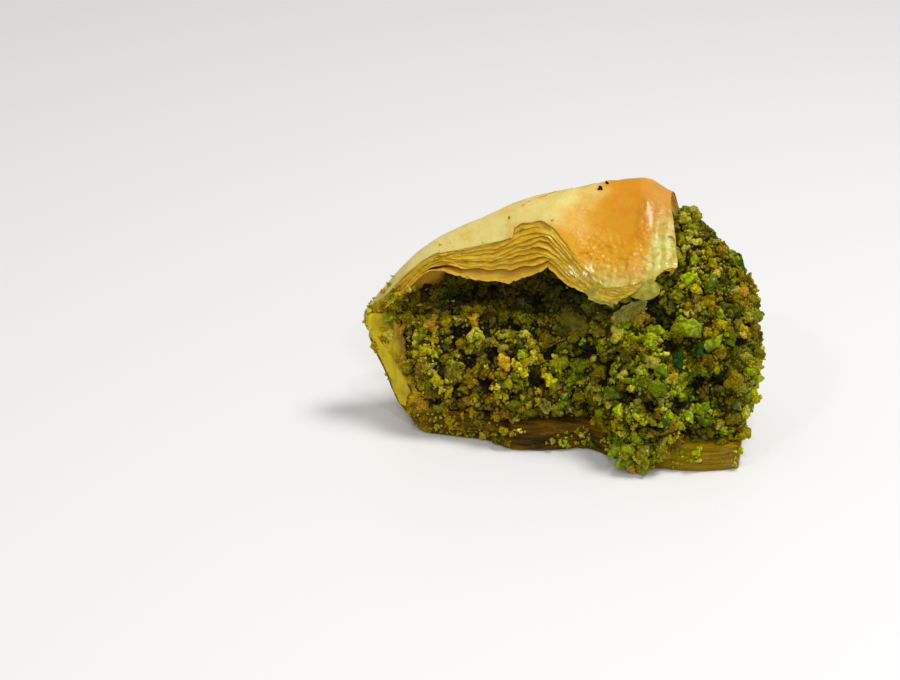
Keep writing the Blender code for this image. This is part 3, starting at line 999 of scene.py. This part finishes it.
def sticks(point, normal):
    """The chance that a crumb sticks to the stack here, for a point in mm."""
    x, y, z = point
    nose = 1.3 * near(point, (-34.5, -7, 21.5), 4.0) + 0.5 * near(point, (-32, -10, 15), 5.0)
    patchy = smooth_step(-0.1, 0.25, noise.noise(Vector(point) / 4.0))
    front = smooth_step(-0.3, -0.7, normal[1]) * smooth_step(4.6, 3.6, z)
    left = 1.0 * smooth_step(-29, -24, x) * smooth_step(-6, -11, x) * front
    rest = 0.35 * patchy * smooth_step(-12, -6, x) * front
    return max(nose * (normal[1] < 0.5), left, rest)


def dusty(point, normal):
    x, y, z = point
    if normal[2] < 0.1:
        return 0
    return 0.6 * near(point, (-24, 1, 35), 4.0) + 0.04 * (x < 2) * (z > 33) * (normal[2] > 0.5)


stuck_crumbs = pile("stuck_crumbs", crumb_bits, pastry_places(1.2 * MM, 21, sticks), 2.1 * MM, 0.25,
                    0.55, CRUMB_MIX, 22, True)
stuck_grains = pile("stuck_grains", fine_bits, pastry_places(0.8 * MM, 23, sticks) + pastry_places(0.8 * MM, 24, dusty),
                    0.6 * MM, 0.25, 0.4, {"bright": 4, "leaf": 2, "straw": 3}, 25, True)

# %% [markdown]
# ## Bits set by hand
# Some bits stand out, so they are set one by one: the clump at the foot, a cluster of brown skins, a yellow
# bit, a green piece on the nose, and two burnt specks on the ridge. Each drops onto the nearest surface.

# %% Set the bits that stand out
SINGLE_BITS = [  # x, y, z and size in mm, shape, colour
    (11.0, -18, 3.2, 2.3, "chunk", "bright"), (13.2, -19, 1.6, 2.4, "chunk", "bright"), (15.6, -18, 2.4, 2.0, "chunk", "leaf"),
    (14.4, -19, 4.6, 1.8, "crumb", "bright"), (16.0, -18, 0.9, 2.3, "chunk", "tan"), (12.0, -18, 6.0, 2.0, "crumb", "leaf"),
    (17.2, -15, 11.4, 2.3, "crumb", "skin"), (19.2, -15, 10.6, 2.5, "crumb", "skin"), (18.4, -16, 8.6, 2.2, "crumb", "brown"),
    (16.2, -16, 8.0, 2.0, "crumb", "tan"), (20.4, -15, 8.8, 2.1, "crumb", "skin"), (17.0, -16, 6.2, 1.9, "crumb", "brown"),
    (9.8, -14, 11.0, 2.2, "chunk", "straw"), (-14.5, -11, 20.5, 2.3, "chunk", "leaf"), (-24.5, -10, 22.5, 1.8, "chunk", "tan"),
    (-22.5, -10, 18.5, 1.7, "crumb", "tan"), (-27.0, -10, 19.0, 1.8, "chunk", "straw"), (-33.2, -8, 20.8, 2.4, "chunk", "bright"),
    (24.0, -8, 25.0, 3.4, "chunk", "bright"), (26.0, -9, 22.0, 3.0, "chunk", "dark"), (21.0, -11, 20.0, 3.0, "chunk", "dark"),
    (29.5, -6, 22.0, 2.8, "chunk", "bright"), (19.5, -12, 17.5, 2.8, "chunk", "leaf"), (27.0, -4, 33.0, 2.6, "chunk", "leaf"),
    (4.4, 7, 45.6, 1.3, "crumb", "burnt"), (5.4, 9, 45.8, 1.1, "crumb", "burnt"), (-2.0, 8, 44.5, 0.5, "crumb", "leaf"),
]
PALETTE["burnt"] = (0.035, 0.010, 0.002)


def single_bits(name, shape, bits, seed):
    """One piece from all listed bits of a shape; a bit's own colour is kept."""
    rng = random.Random(seed)
    points, faces, tints, first = [], [], [], 0
    for x, y, z, size, kind, color in SINGLE_BITS:
        if kind != shape:
            continue
        wanted = Vector((x, y, z)) * MM
        hits = [tree.find_nearest(wanted) for tree in (heap, stack)]
        spot, normal = min(hits, key=lambda hit: hit[3])[:2]
        bit_points, bit_faces = bits[rng.randrange(len(bits))]
        turn = np.array(Euler([rng.uniform(0, 6) for _ in range(3)]).to_matrix())
        moved = bit_points @ (turn.T * size * MM) + np.array(spot + normal * size * 0.28 * MM)
        moved += np.maximum(ROOM[0] - moved.min(0), 0) - np.maximum(moved.max(0) - ROOM[1], 0)
        points.append(moved)
        faces.append(bit_faces + first)
        tints.append(np.tile([*PALETTE[color], 1.0], (len(moved), 1)))
        first += len(moved)
    mesh = bpy.data.meshes.new(name)
    mesh.from_pydata(np.concatenate(points), [], np.concatenate(faces).tolist())
    mesh.attributes.new("tint", "FLOAT_COLOR", "POINT").data.foreach_set("color", np.concatenate(tints).ravel())
    mesh.shade_smooth()
    piece = bpy.data.objects.new(name, mesh)
    bpy.context.scene.collection.objects.link(piece)
    print(name + ":", len(points), "bits")
    return piece


set_crumbs = single_bits("set_crumbs", "crumb", crumb_bits, 31)
set_chunks = single_bits("set_chunks", "chunk", chunk_bits, 32)

# %% [markdown]
# ## Flakes
# Thin scraps of pastry, soaked clear by syrup, have slid off the droop onto the nuts. Each is a small grid
# pressed into a disc, with an uneven rim and a curl, laid over a slope that faces the front.

# %% Model the flakes
def flake(place, width, height, tilt, roll, curl, seed, torn=0.4):
    """A scrap of leaf at a place in mm; tilt leans it back and roll turns it in its own plane, in degrees."""
    turn = Euler((math.radians(tilt), 0, 0)).to_matrix() @ Euler((0, 0, math.radians(roll))).to_matrix()

    def point(u, v):
        a, b = 2 * u - 1, 2 * v - 1
        a, b = a * math.sqrt(1 - b * b / 2), b * math.sqrt(1 - a * a / 2)
        wide = 1 + 0.15 * noise.noise((a * 1.1, b * 1.1, seed)) + torn * noise.noise((a * 3, b * 3, seed))
        rise = curl * (a * a + 0.5 * b * b - 0.4) + 0.5 * noise.noise((a * 1.6, b * 1.6, seed + 5)) \
            + 0.10 * math.cos(9 * a + 3 * b * noise.noise((a, b, seed)))
        return (turn @ Vector((a * width / 2 * wide, b * height / 2 * wide, rise)) + Vector(place)) * MM

    piece = sheet("flake", 22, 18, point)
    modify(piece, "SOLIDIFY", thickness=0.14 * MM, offset=0)
    return piece


clear_flakes = join("clear_flakes", [
    flake((15.1, -7.7, 32.2), 5.6, 4.0, 58, 10, -0.9, 1, 0.06), flake((12.4, -5.9, 26.4), 7.5, 3.0, 66, 34, 0.5, 2),
    flake((7.5, -8.3, 30.3), 6.5, 3.0, 58, -12, 0.5, 3, 0.5),
    flake((17.6, -14.8, 16.7), 3.4, 1.6, 60, 0, 0.5, 5), flake((-1.5, -10.1, 7.5), 2.0, 2.6, 70, 30, 0.9, 6)])
olive_flakes = join("olive_flakes", [flake((2.3, -5.6, 23.0), 5.6, 4.2, 62, -20, -0.8, 11, 0.15)])
for piece in (clear_flakes, olive_flakes):
    face_outwards(piece)
    bpy.ops.object.shade_smooth_by_angle(angle=math.radians(60))

# %% [markdown]
# ## Syrup beads
# Syrup stands in small beads here and there on the nuts. They give the sharp lights of a fresh piece. Each is
# a squashed ball half sunk in what it lies on.

# %% Model the beads
bpy.ops.object.select_all(action="DESELECT")
bpy.ops.mesh.primitive_ico_sphere_add(subdivisions=2, radius=0.5)
bead = as_arrays(bpy.context.object)


rng = random.Random(43)
points, faces, first = [], [], 0
for place, normal, _ in rng.sample(bare_places(1.6 * MM, 42), 200):
    size = rng.uniform(0.35, 0.8) * MM
    flat = normal.to_track_quat("Z", "Y").to_matrix() @ Matrix.Diagonal((size * rng.uniform(0.8, 1.6), size, size * 0.5))
    points.append(bead[0] @ np.array(flat).T + np.array(place))
    points[-1][:, 2] = np.maximum(points[-1][:, 2], 0)
    faces.append(bead[1] + first)
    first += len(bead[0])
bead_mesh = bpy.data.meshes.new("syrup_beads")
bead_mesh.from_pydata(np.concatenate(points), [], np.concatenate(faces).tolist())
bead_mesh.shade_smooth()
syrup_beads = bpy.data.objects.new("syrup_beads", bead_mesh)
bpy.context.scene.collection.objects.link(syrup_beads)
print("syrup_beads:", len(points), "beads,", triangles(syrup_beads), "triangles")

# %% [markdown]
# ## Materials
# All colours are worked out by nodes. A short helper adds a node and fills its sockets, either with a value
# or with another node's output.

# %% A helper for nodes
def node(tree, kind, settings=None, output=0, **sockets):
    """Adds a node, sets its properties and sockets (spaces in names as _), and returns one of its outputs."""
    new = tree.nodes.new(kind)
    for key, value in (settings or {}).items():
        setattr(new, key, value)
    for key, value in sockets.items():
        socket = new.inputs[int(key[1:])] if key[1:].isdigit() else new.inputs[key.replace("_", " ")]
        if isinstance(value, bpy.types.NodeSocket):
            tree.links.new(value, socket)
        else:
            socket.default_value = value
    return new.outputs[output]


def math_node(tree, operation, a, b=0.0, clamp=False):
    return node(tree, "ShaderNodeMath", {"operation": operation, "use_clamp": clamp}, i0=a, i1=b)


def mix_color(tree, factor, a, b, blend="MIX"):
    settings = {"data_type": "RGBA", "blend_type": blend}
    new = tree.nodes.new("ShaderNodeMix")
    for key, value in settings.items():
        setattr(new, key, value)
    for socket, value in ((new.inputs["Factor"], factor), (new.inputs[6], a), (new.inputs[7], b)):
        if isinstance(value, bpy.types.NodeSocket):
            tree.links.new(value, socket)
        else:
            socket.default_value = value if not isinstance(value, tuple) or len(value) == 4 else (*value, 1)
    return new.outputs[2]


def ramp(tree, value, low, high, low_value=0.0, high_value=1.0):
    """A smooth step of a value, for masks."""
    return node(tree, "ShaderNodeMapRange", {"interpolation_type": "SMOOTHSTEP"}, Value=value, From_Min=low,
                From_Max=high, To_Min=low_value, To_Max=high_value)


def noise_at(tree, vector, scale, detail=2.0, output=0):
    return node(tree, "ShaderNodeTexNoise", output=output, Vector=vector, Scale=scale, Detail=detail)


def new_material(name):
    material = bpy.data.materials.new(name)
    material.use_nodes = True
    return material, material.node_tree, material.node_tree.nodes["Principled BSDF"]


def place_in_mm(tree):
    """Object coordinates in millimetres, whole and as separate x, y and z."""
    where = node(tree, "ShaderNodeTexCoord", output=3)
    scaled = node(tree, "ShaderNodeVectorMath", {"operation": "SCALE"}, i0=where, Scale=1 / MM)
    split = tree.nodes.new("ShaderNodeSeparateXYZ")
    tree.links.new(scaled, split.inputs[0])
    return scaled, *split.outputs


def connect(tree, shader, **sockets):
    for key, value in sockets.items():
        socket = shader.inputs[key.replace("_", " ")]
        if isinstance(value, bpy.types.NodeSocket):
            tree.links.new(value, socket)
        else:
            socket.default_value = value


# %% [markdown]
# ## Effects that several finishes share
# The colours of baking, the syrup that lies in films and pools, and the small lumps of a crumb each show on
# more than one piece. Each is a node group, built once and then put into the finishes with its own values.

# %% Build the shared effects
def effect(name, inputs, outputs, wire):
    """A node group with the given sockets; wire(tree, inputs) returns a value for each output."""
    tree = bpy.data.node_groups.new(name, "ShaderNodeTree")
    for direction, sockets in (("INPUT", inputs), ("OUTPUT", outputs)):
        for socket_name, socket_type, *default in sockets:
            socket = tree.interface.new_socket(socket_name, in_out=direction, socket_type="NodeSocket" + socket_type)
            if default:
                socket.default_value = default[0]
    start, end = tree.nodes.new("NodeGroupInput"), tree.nodes.new("NodeGroupOutput")
    for value, socket in zip(wire(tree, start.outputs), end.inputs):
        tree.links.new(value, socket)
    return tree


def use(tree, group, **sockets):
    """Puts a group into a material and returns its outputs."""
    output = node(tree, "ShaderNodeGroup", {"node_tree": group}, **sockets)
    return output.node.outputs


def wire_baking(tree, inputs):
    spot = inputs["Place"]
    split = tree.nodes.new("ShaderNodeSeparateXYZ")
    tree.links.new(spot, split.inputs[0])
    x, y, z = split.outputs
    patches = noise_at(tree, spot, 0.16, 3)
    front = ramp(tree, y, 9.0, 4.0)
    above = math_node(tree, "MAXIMUM", math_node(tree, "SUBTRACT", z, 38.0), 0.0)
    shifted = math_node(tree, "MULTIPLY", math_node(tree, "SUBTRACT", patches, 0.5), 8.0)
    shifted = math_node(tree, "ADD", shifted, math_node(tree, "MULTIPLY", above, -2.0))
    bake = ramp(tree, math_node(tree, "ADD", x, shifted), -14.0, -4.0)
    bake = math_node(tree, "MULTIPLY", bake, ramp(tree, y, 3.0, 13.0, 1.0, 0.3))
    bake = math_node(tree, "ADD", bake, ramp(tree, y, 3.0, 13.0, 0.0, 0.5))     # the back is golden all over
    bake = math_node(tree, "ADD", bake, ramp(tree, patches, 0.3, 0.7, -0.2, 0.2), clamp=True)
    color = mix_color(tree, bake, CREAM, GOLD)
    hot = math_node(tree, "MULTIPLY", ramp(tree, z, 34.0, 43.0), ramp(tree, x, 0.0, 10.0))
    hot = math_node(tree, "MULTIPLY", hot, ramp(tree, patches, 0.32, 0.6, 0.35, 1.0))
    color = mix_color(tree, hot, color, AMBER)
    low = math_node(tree, "MULTIPLY", ramp(tree, z, 36.5, 31.0), ramp(tree, x, -2.0, 4.0))
    low = math_node(tree, "MULTIPLY", low, front)
    streaks = noise_at(tree, node(tree, "ShaderNodeMapping", Vector=spot, Scale=(0.9, 0.3, 0.3)), 1.0, 4)
    rim_color = mix_color(tree, ramp(tree, streaks, 0.38, 0.68), HONEY, RIM)
    color = mix_color(tree, math_node(tree, "MULTIPLY", low, ramp(tree, patches, 0.3, 0.5, 0.6, 1.0)), color, rim_color)
    color = mix_color(tree, math_node(tree, "MULTIPLY", ramp(tree, x, 13.5, 16.5), front), color, rim_color)
    clouds = noise_at(tree, spot, 0.45, 3)
    color = mix_color(tree, ramp(tree, clouds, 0.45, 0.7, 0.0, 0.5), color, (1.0, 0.72, 0.35), "MULTIPLY")
    color = mix_color(tree, inputs["Soaked"], color, AMBER_SYRUP)
    deep = math_node(tree, "ADD", z, math_node(tree, "MULTIPLY", patches, 16.0))
    color = mix_color(tree, ramp(tree, deep, 32.0, 14.0), color, SOAKED)
    freckles = noise_at(tree, spot, 1.6, 4)
    color = mix_color(tree, ramp(tree, freckles, 0.35, 0.62, 0.0, 0.22), color, (1, 0.85, 0.5), "MULTIPLY")
    soft = math_node(tree, "MULTIPLY", ramp(tree, z, 41.0, 36.0), ramp(tree, x, -3.0, 4.0))
    soft = math_node(tree, "MULTIPLY", soft, ramp(tree, y, 4.0, -1.0))
    rim = math_node(tree, "MULTIPLY", ramp(tree, x, 11.5, 14.0), front)
    return [color, math_node(tree, "MAXIMUM", soft, rim)]


def wire_syrup(tree, inputs):
    films = noise_at(tree, inputs["Place"], 0.35, 2)
    drops = node(tree, "ShaderNodeTexVoronoi", Vector=inputs["Place"], Scale=inputs["Drops per mm"])
    lies = math_node(tree, "ADD", films, math_node(tree, "MULTIPLY", drops, -0.25))
    lies = math_node(tree, "ADD", lies, inputs["Amount"])
    return [ramp(tree, lies, 0.48, 0.62), math_node(tree, "MULTIPLY", drops, -1.0)]


# Its Crevice output marks the crevices between the lumps, where painted shade goes.
def wire_meal(tree, inputs):
    scaled = node(tree, "ShaderNodeVectorMath", {"operation": "SCALE"}, i0=inputs["Place"], Scale=inputs["Scale"])
    lumps = node(tree, "ShaderNodeTexVoronoi", {"feature": "SMOOTH_F1"}, Vector=scaled, Scale=1.0, Smoothness=0.3)
    grit = noise_at(tree, scaled, 2.4, 3)
    height = math_node(tree, "ADD", math_node(tree, "MULTIPLY", lumps, -1.0), math_node(tree, "MULTIPLY", grit, 0.6))
    return [height, ramp(tree, lumps, 0.25, 0.7)]


CREAM, GOLD, AMBER = (0.76, 0.60, 0.20), (0.70, 0.335, 0.008), (0.64, 0.255, 0.008)
HONEY, SOAKED, RIM = (0.52, 0.43, 0.06), (0.30, 0.14, 0.004), (0.74, 0.68, 0.27)
AMBER_SYRUP = (0.50, 0.25, 0.006)
PLACE = ("Place", "Vector")
baking = effect("baking", [PLACE, ("Soaked", "Float", 0.0)], [("Color", "Color"), ("Wet", "Float")], wire_baking)
syrup = effect("syrup_film", [PLACE, ("Amount", "Float", 0.0), ("Drops per mm", "Float", 0.8)],
               [("Film", "Float"), ("Height", "Float")], wire_syrup)
meal = effect("nut_meal", [PLACE, ("Scale", "Float", 1.0)], [("Height", "Float"), ("Crevice", "Float")], wire_meal)
print("effects:", [group.name for group in (baking, syrup, meal)])

# %% [markdown]
# ## Baked pastry
# The leaves are matt and crisp at the top, and wet where the syrup stands. So the coat's weight follows the
# syrup film, and the coat itself is smooth. A little scattering below the surface gives the warm, thin look.

# %% Finish the baked leaves
def attribute(tree, name):
    """A number that a piece keeps with its points."""
    return node(tree, "ShaderNodeAttribute", {"attribute_name": name}, 2)


def baked_pastry(name, roughness, coat, wetness, soaked, paint=None):
    """A finish for leaves; paint(tree, color, place) may change the colour for one piece."""
    material, tree, shader = new_material(name)
    spot = place_in_mm(tree)[0]
    baked = use(tree, baking, Place=spot, Soaked=soaked)
    color = baked["Color"]
    if paint:
        color = paint(tree, color, spot)
    film = use(tree, syrup, Place=spot, Amount=wetness, Drops_per_mm=0.9)
    folds = math_node(tree, "ADD", noise_at(tree, spot, 0.55, 1), math_node(tree, "MULTIPLY", film["Height"], 0.12))
    wrinkles = math_node(tree, "MULTIPLY", folds, baked["Wet"])
    height = math_node(tree, "ADD", math_node(tree, "MULTIPLY", noise_at(tree, spot, 2.4, 2), 0.05), wrinkles)
    normal = node(tree, "ShaderNodeBump", Strength=0.9, Distance=0.0015, Height=height)
    wet = math_node(tree, "MULTIPLY", math_node(tree, "MAXIMUM", film["Film"], baked["Wet"]), coat)
    connect(tree, shader, Base_Color=color, Roughness=ramp(tree, wet, 0.0, 0.9, roughness, 0.15),
            Coat_Weight=math_node(tree, "MULTIPLY", wet, 0.4), Coat_Roughness=0.08, Specular_IOR_Level=0.15, Subsurface_Weight=0.3, Subsurface_Scale=0.0012,
            Subsurface_Radius=(1.0, 0.5, 0.15), Normal=normal)
    return material


def pale_ends(tree, color, spot):
    """A leaf's very end is dry and pale in places, and between the leaves the syrup is dark."""
    dark = mix_color(tree, 0.75, color, (0.42, 0.19, 0.003))
    dry = noise_at(tree, node(tree, "ShaderNodeMapping", Vector=spot, Scale=(0.5, 0.5, 1.6)), 1.0, 3)
    end = mix_color(tree, ramp(tree, dry, 0.35, 0.65), (0.56, 0.30, 0.010), EDGE)
    return mix_color(tree, ramp(tree, attribute(tree, "along"), 0.93, 1.0), dark, end)


def inner_wall(tree, color, spot):
    """Inside the fold the wall is wet and yellow, with painted light that brightens it where the roof shades it, and
    deep inside it is brown.
    """
    split = tree.nodes.new("ShaderNodeSeparateXYZ")
    tree.links.new(spot, split.inputs[0])
    wall = mix_color(tree, ramp(tree, split.outputs[0], -24.0, -20.0), WALL_WITH_PAINTED_LIGHT, (0.16, 0.08, 0.004))
    color = mix_color(tree, attribute(tree, "inside"), color, wall)
    return mix_color(tree, ramp(tree, split.outputs[2], 22.0, 17.5, 0, 0.9), color, stained_nose(tree, color, spot))


def stained_nose(tree, color, spot):
    """The nose is yellow at its outer edge, and syrup stains it brown towards the nuts."""
    split = tree.nodes.new("ShaderNodeSeparateXYZ")
    tree.links.new(spot, split.inputs[0])
    x, y, z = split.outputs
    across = math_node(tree, "ADD", x, math_node(tree, "MULTIPLY", z, 0.42))
    stains = noise_at(tree, node(tree, "ShaderNodeMapping", Vector=spot, Scale=(0.5, 0.3, 0.35)), 1.0, 4)
    brown = math_node(tree, "ADD", ramp(tree, across, -27.5, -22.5), ramp(tree, stains, 0.35, 0.7, -0.35, 0.35), clamp=True)
    return mix_color(tree, brown, (0.66, 0.48, 0.008), (0.24, 0.14, 0.001))


def browned_rim(tree, color, spot):
    """The top leaf's right end caught the heat at the ridge."""
    split = tree.nodes.new("ShaderNodeSeparateXYZ")
    tree.links.new(spot, split.inputs[0])
    rim = math_node(tree, "MULTIPLY", ramp(tree, split.outputs[0], 11.0, 15.0, 0, 0.7), ramp(tree, split.outputs[2], 38.0, 43.0))
    return mix_color(tree, rim, color, (0.62, 0.26, 0.04))


# The wall's yellow is raised past its own colour as painted light, because the roof shades it.
EDGE, WALL_WITH_PAINTED_LIGHT = (0.68, 0.44, 0.03), (0.97, 0.93, 0.45)
top_finish = baked_pastry("baked_top_leaf", 0.42, 0.9, 0.04, 0.0, browned_rim)
pale_finish = baked_pastry("baked_pale_leaf", 0.5, 0.4, -0.04, 0.0)
leaf_finish = baked_pastry("baked_leaf_edges", 0.5, 0.4, 0.0, 0.6, pale_ends)
body_finish = baked_pastry("baked_body", 0.5, 0.3, 0.0, 0.3, inner_wall)
nose_finish = baked_pastry("soaked_nose_leaf", 0.45, 0.6, 0.0, 0.0, stained_nose)

# %% [markdown]
# ## Soaked base
# Syrup makes the lowest leaves dark and clear like honey. Long streaks along the leaves vary the brown, and
# the nose end stays yellow, where the leaf is thin and light comes through.

# %% Finish the base
def soaked_pastry(name):
    material, tree, shader = new_material(name)
    spot, x, y, z = place_in_mm(tree)
    streaks = noise_at(tree, node(tree, "ShaderNodeMapping", Vector=spot, Scale=(0.12, 0.4, 0.9)), 1.0, 3)
    layers = noise_at(tree, node(tree, "ShaderNodeMapping", Vector=spot, Scale=(0.10, 0.3, 2.4)), 1.0, 3)
    color = mix_color(tree, ramp(tree, streaks, 0.35, 0.65), (0.030, 0.016, 0.0004), (0.12, 0.065, 0.001))
    stained = mix_color(tree, ramp(tree, noise_at(tree, spot, 0.45, 3), 0.4, 0.62), (0.16, 0.09, 0.001), (0.56, 0.40, 0.006))
    color = mix_color(tree, ramp(tree, x, -21.0, -29.0), color, stained)
    color = mix_color(tree, ramp(tree, x, 17.0, 23.0, 0, 0.85), color, (0.25, 0.155, 0.001))
    color = mix_color(tree, ramp(tree, layers, 0.4, 0.62, 0.0, 0.8), color, (1.6, 1.5, 1.3), "MULTIPLY")
    film = use(tree, syrup, Place=spot, Amount=0.05, Drops_per_mm=0.5)
    height = math_node(tree, "ADD", layers, math_node(tree, "MULTIPLY", noise_at(tree, spot, 0.9, 4), 1.2))
    normal = node(tree, "ShaderNodeBump", Strength=0.9, Distance=0.0006, Height=height)
    connect(tree, shader, Base_Color=color, Roughness=0.4, Coat_Roughness=0.08, Specular_IOR_Level=0.08,
            Coat_Weight=math_node(tree, "MULTIPLY", film["Film"], 0.6), Subsurface_Weight=0.1, Subsurface_Scale=0.0015,
            Subsurface_Radius=(1.0, 0.5, 0.1), Normal=normal)
    return material


base_finish = soaked_pastry("soaked_leaves")

# %% [markdown]
# ## Nuts
# Each bit brings its tint, and the meal's small lumps break it up, with painted shade in the crevices between them.
# Syrup lies on them in patches.

# %% Finish the nuts
def nut_finish(name, roughness, wetness, crevice_shade, scale):
    material, tree, shader = new_material(name)
    tint = node(tree, "ShaderNodeAttribute", {"attribute_name": "tint"})
    spot = place_in_mm(tree)[0]
    lumps = use(tree, meal, Place=spot, Scale=scale)
    film = use(tree, syrup, Place=spot, Amount=wetness, Drops_per_mm=1.1)
    # Painted shade: the colour is darker in the crevices between the meal's small lumps.
    shade = math_node(tree, "MULTIPLY", lumps["Crevice"], crevice_shade)
    color = mix_color(tree, shade, tint, (0.40, 0.34, 0.10), "MULTIPLY")
    normal = node(tree, "ShaderNodeBump", Strength=0.8, Distance=0.00018, Height=lumps["Height"])
    connect(tree, shader, Base_Color=color, Roughness=roughness, Coat_Roughness=0.07, Specular_IOR_Level=0.06,
            Coat_Weight=math_node(tree, "MULTIPLY", film["Film"], 0.75), Subsurface_Weight=0.25, Subsurface_Scale=0.0008,
            Subsurface_Radius=(1.0, 0.8, 0.15), Normal=normal)
    return material


meal_finish = nut_finish("pistachio_meal", 0.6, 0.0, 0.75, 2.2)
chunk_finish = nut_finish("chopped_pistachio", 0.4, 0.08, 0.8, 1.2)

core_finish, tree, shader = new_material("soaked_nut_core")
spot = place_in_mm(tree)[0]
lumps = use(tree, meal, Place=spot, Scale=1.4)
risen = attribute(tree, "height")
patches = noise_at(tree, spot, 0.25, 3)
core_color = mix_color(tree, ramp(tree, patches, 0.4, 0.6), (0.16, 0.12, 0.003), (0.14, 0.17, 0.003))
# Painted shade: darker between the meal's lumps and, by the kept height, deep in the crevices.
core_color = mix_color(tree, lumps["Crevice"], core_color, (0.35, 0.30, 0.1), "MULTIPLY")
core_color = mix_color(tree, ramp(tree, risen, 0.2, -0.6), core_color, (0.026, 0.017, 0.0004))
connect(tree, shader, Base_Color=core_color, Roughness=0.5, Specular_IOR_Level=0.15,
        Coat_Weight=math_node(tree, "MULTIPLY", use(tree, syrup, Place=spot, Amount=0.0)["Film"], 0.5),
        Coat_Roughness=0.06, Normal=node(tree, "ShaderNodeBump", Strength=0.8, Distance=0.0003, Height=lumps["Height"]))

# %% [markdown]
# ## Flakes and beads
# Soaked through, a scrap of leaf lets light pass, so it is partly clear and has a wet coat. The beads are
# clear honey: a little colour, a smooth surface, and half of the light goes through.

# %% Finish the flakes and beads
def clear_finish(name, color, alpha, roughness, bump, coat):
    material, tree, shader = new_material(name)
    spot = place_in_mm(tree)[0]
    mottled = mix_color(tree, ramp(tree, noise_at(tree, spot, 0.9, 3), 0.35, 0.65), color,
                        tuple(channel * 0.6 for channel in color))
    normal = node(tree, "ShaderNodeBump", Strength=bump, Distance=0.0002, Height=noise_at(tree, spot, 1.6, 2))
    connect(tree, shader, Base_Color=mottled, Roughness=roughness, Alpha=alpha, Coat_Weight=coat,
            Coat_Roughness=0.05, Specular_IOR_Level=0.12, Normal=normal)
    return material


flake_finish = clear_finish("clear_flake", (0.58, 0.51, 0.07), 0.5, 0.3, 0.8, 0.0)
olive_finish = clear_finish("olive_flake", (0.15, 0.12, 0.003), 0.85, 0.35, 0.6, 0.0)
bead_finish = clear_finish("syrup_bead", (0.75, 0.60, 0.15), 0.3, 0.1, 0.0, 1.0)

# %% Give each piece its finish
FINISHES = [(body, body_finish, "pastry"), (roof_leaves, leaf_finish, "pastry"), (top_leaf, top_finish, "pastry"),
            (pale_leaf, pale_finish, "pastry"), (nose_leaf, nose_finish, "pastry"),
            (base_leaves, base_finish, "pastry"), (core, core_finish, "pistachio"),
            (fine_grains, meal_finish, "pistachio"), (large_crumbs, meal_finish, "pistachio"),
            (nut_crumbs, meal_finish, "pistachio"), (small_crumbs, meal_finish, "pistachio"),
            (nut_chunks, chunk_finish, "pistachio"), (stuck_crumbs, meal_finish, "pistachio"),
            (stuck_grains, meal_finish, "pistachio"), (set_crumbs, meal_finish, "pistachio"),
            (set_chunks, chunk_finish, "pistachio"), (clear_flakes, flake_finish, "pastry"),
            (olive_flakes, olive_finish, "pastry"), (syrup_beads, bead_finish, "pastry")]
for piece, finish, slot in FINISHES:
    piece.data.materials.clear()
    piece.data.materials.append(finish)
    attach(piece, "root")
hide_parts("pastry_shell")
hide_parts("pistachio_filling")

# %% [markdown]
# ## Floor and light
# A pale floor and soft lights, as in a studio for food: one wide light above and a little behind for the gloss,
# a smaller one from the front right, two small ones for the glints, and a bright even surround.

# %% Stage
def soft_light(name, place, target, size, watts):
    light = bpy.data.lights.new(name, "AREA")
    light.size = size
    light.energy = watts
    lamp = bpy.data.objects.new(name, light)
    bpy.context.scene.collection.objects.link(lamp)
    aim = (Vector(target) - Vector(place)).to_track_quat("-Z", "Y").to_matrix().to_4x4()
    lamp.matrix_world = Matrix.Translation(place) @ aim


soft_light("top_light", (0.22, 0.06, 0.62), (0, 0, 0.02), 0.20, 2.8)
soft_light("front_light", (0.12, -0.60, 0.40), (0, 0, 0.02), 0.12, 0.9)
soft_light("left_glint", (-0.22, -0.42, 0.46), (0, 0, 0.02), 0.04, 0.30)
soft_light("right_glint", (0.10, -0.30, 0.60), (0, 0, 0.02), 0.04, 0.35)
bpy.ops.object.select_all(action="DESELECT")
bpy.ops.mesh.primitive_plane_add(size=6, location=(0, 0, -0.0002))
floor = bpy.context.object
floor.name = "floor"
floor_finish, tree, shader = new_material("pale_floor")
connect(tree, shader, Base_Color=(0.86, 0.85, 0.83, 1), Roughness=0.4)
floor.data.materials.append(floor_finish)
world = bpy.data.worlds.new("studio")
bpy.context.scene.world = world
world.use_nodes = True
connect(world.node_tree, world.node_tree.nodes["Background"], Color=(0.97, 0.97, 1.0, 1), Strength=0.38)

# %% Sizes, and the end
for piece, _, _ in FINISHES:
    spots = np.array([v.co for v in piece.data.vertices]) / MM
    print(piece.name, triangles(piece), "triangles, mm", spots.min(0).round(1), spots.max(0).round(1))
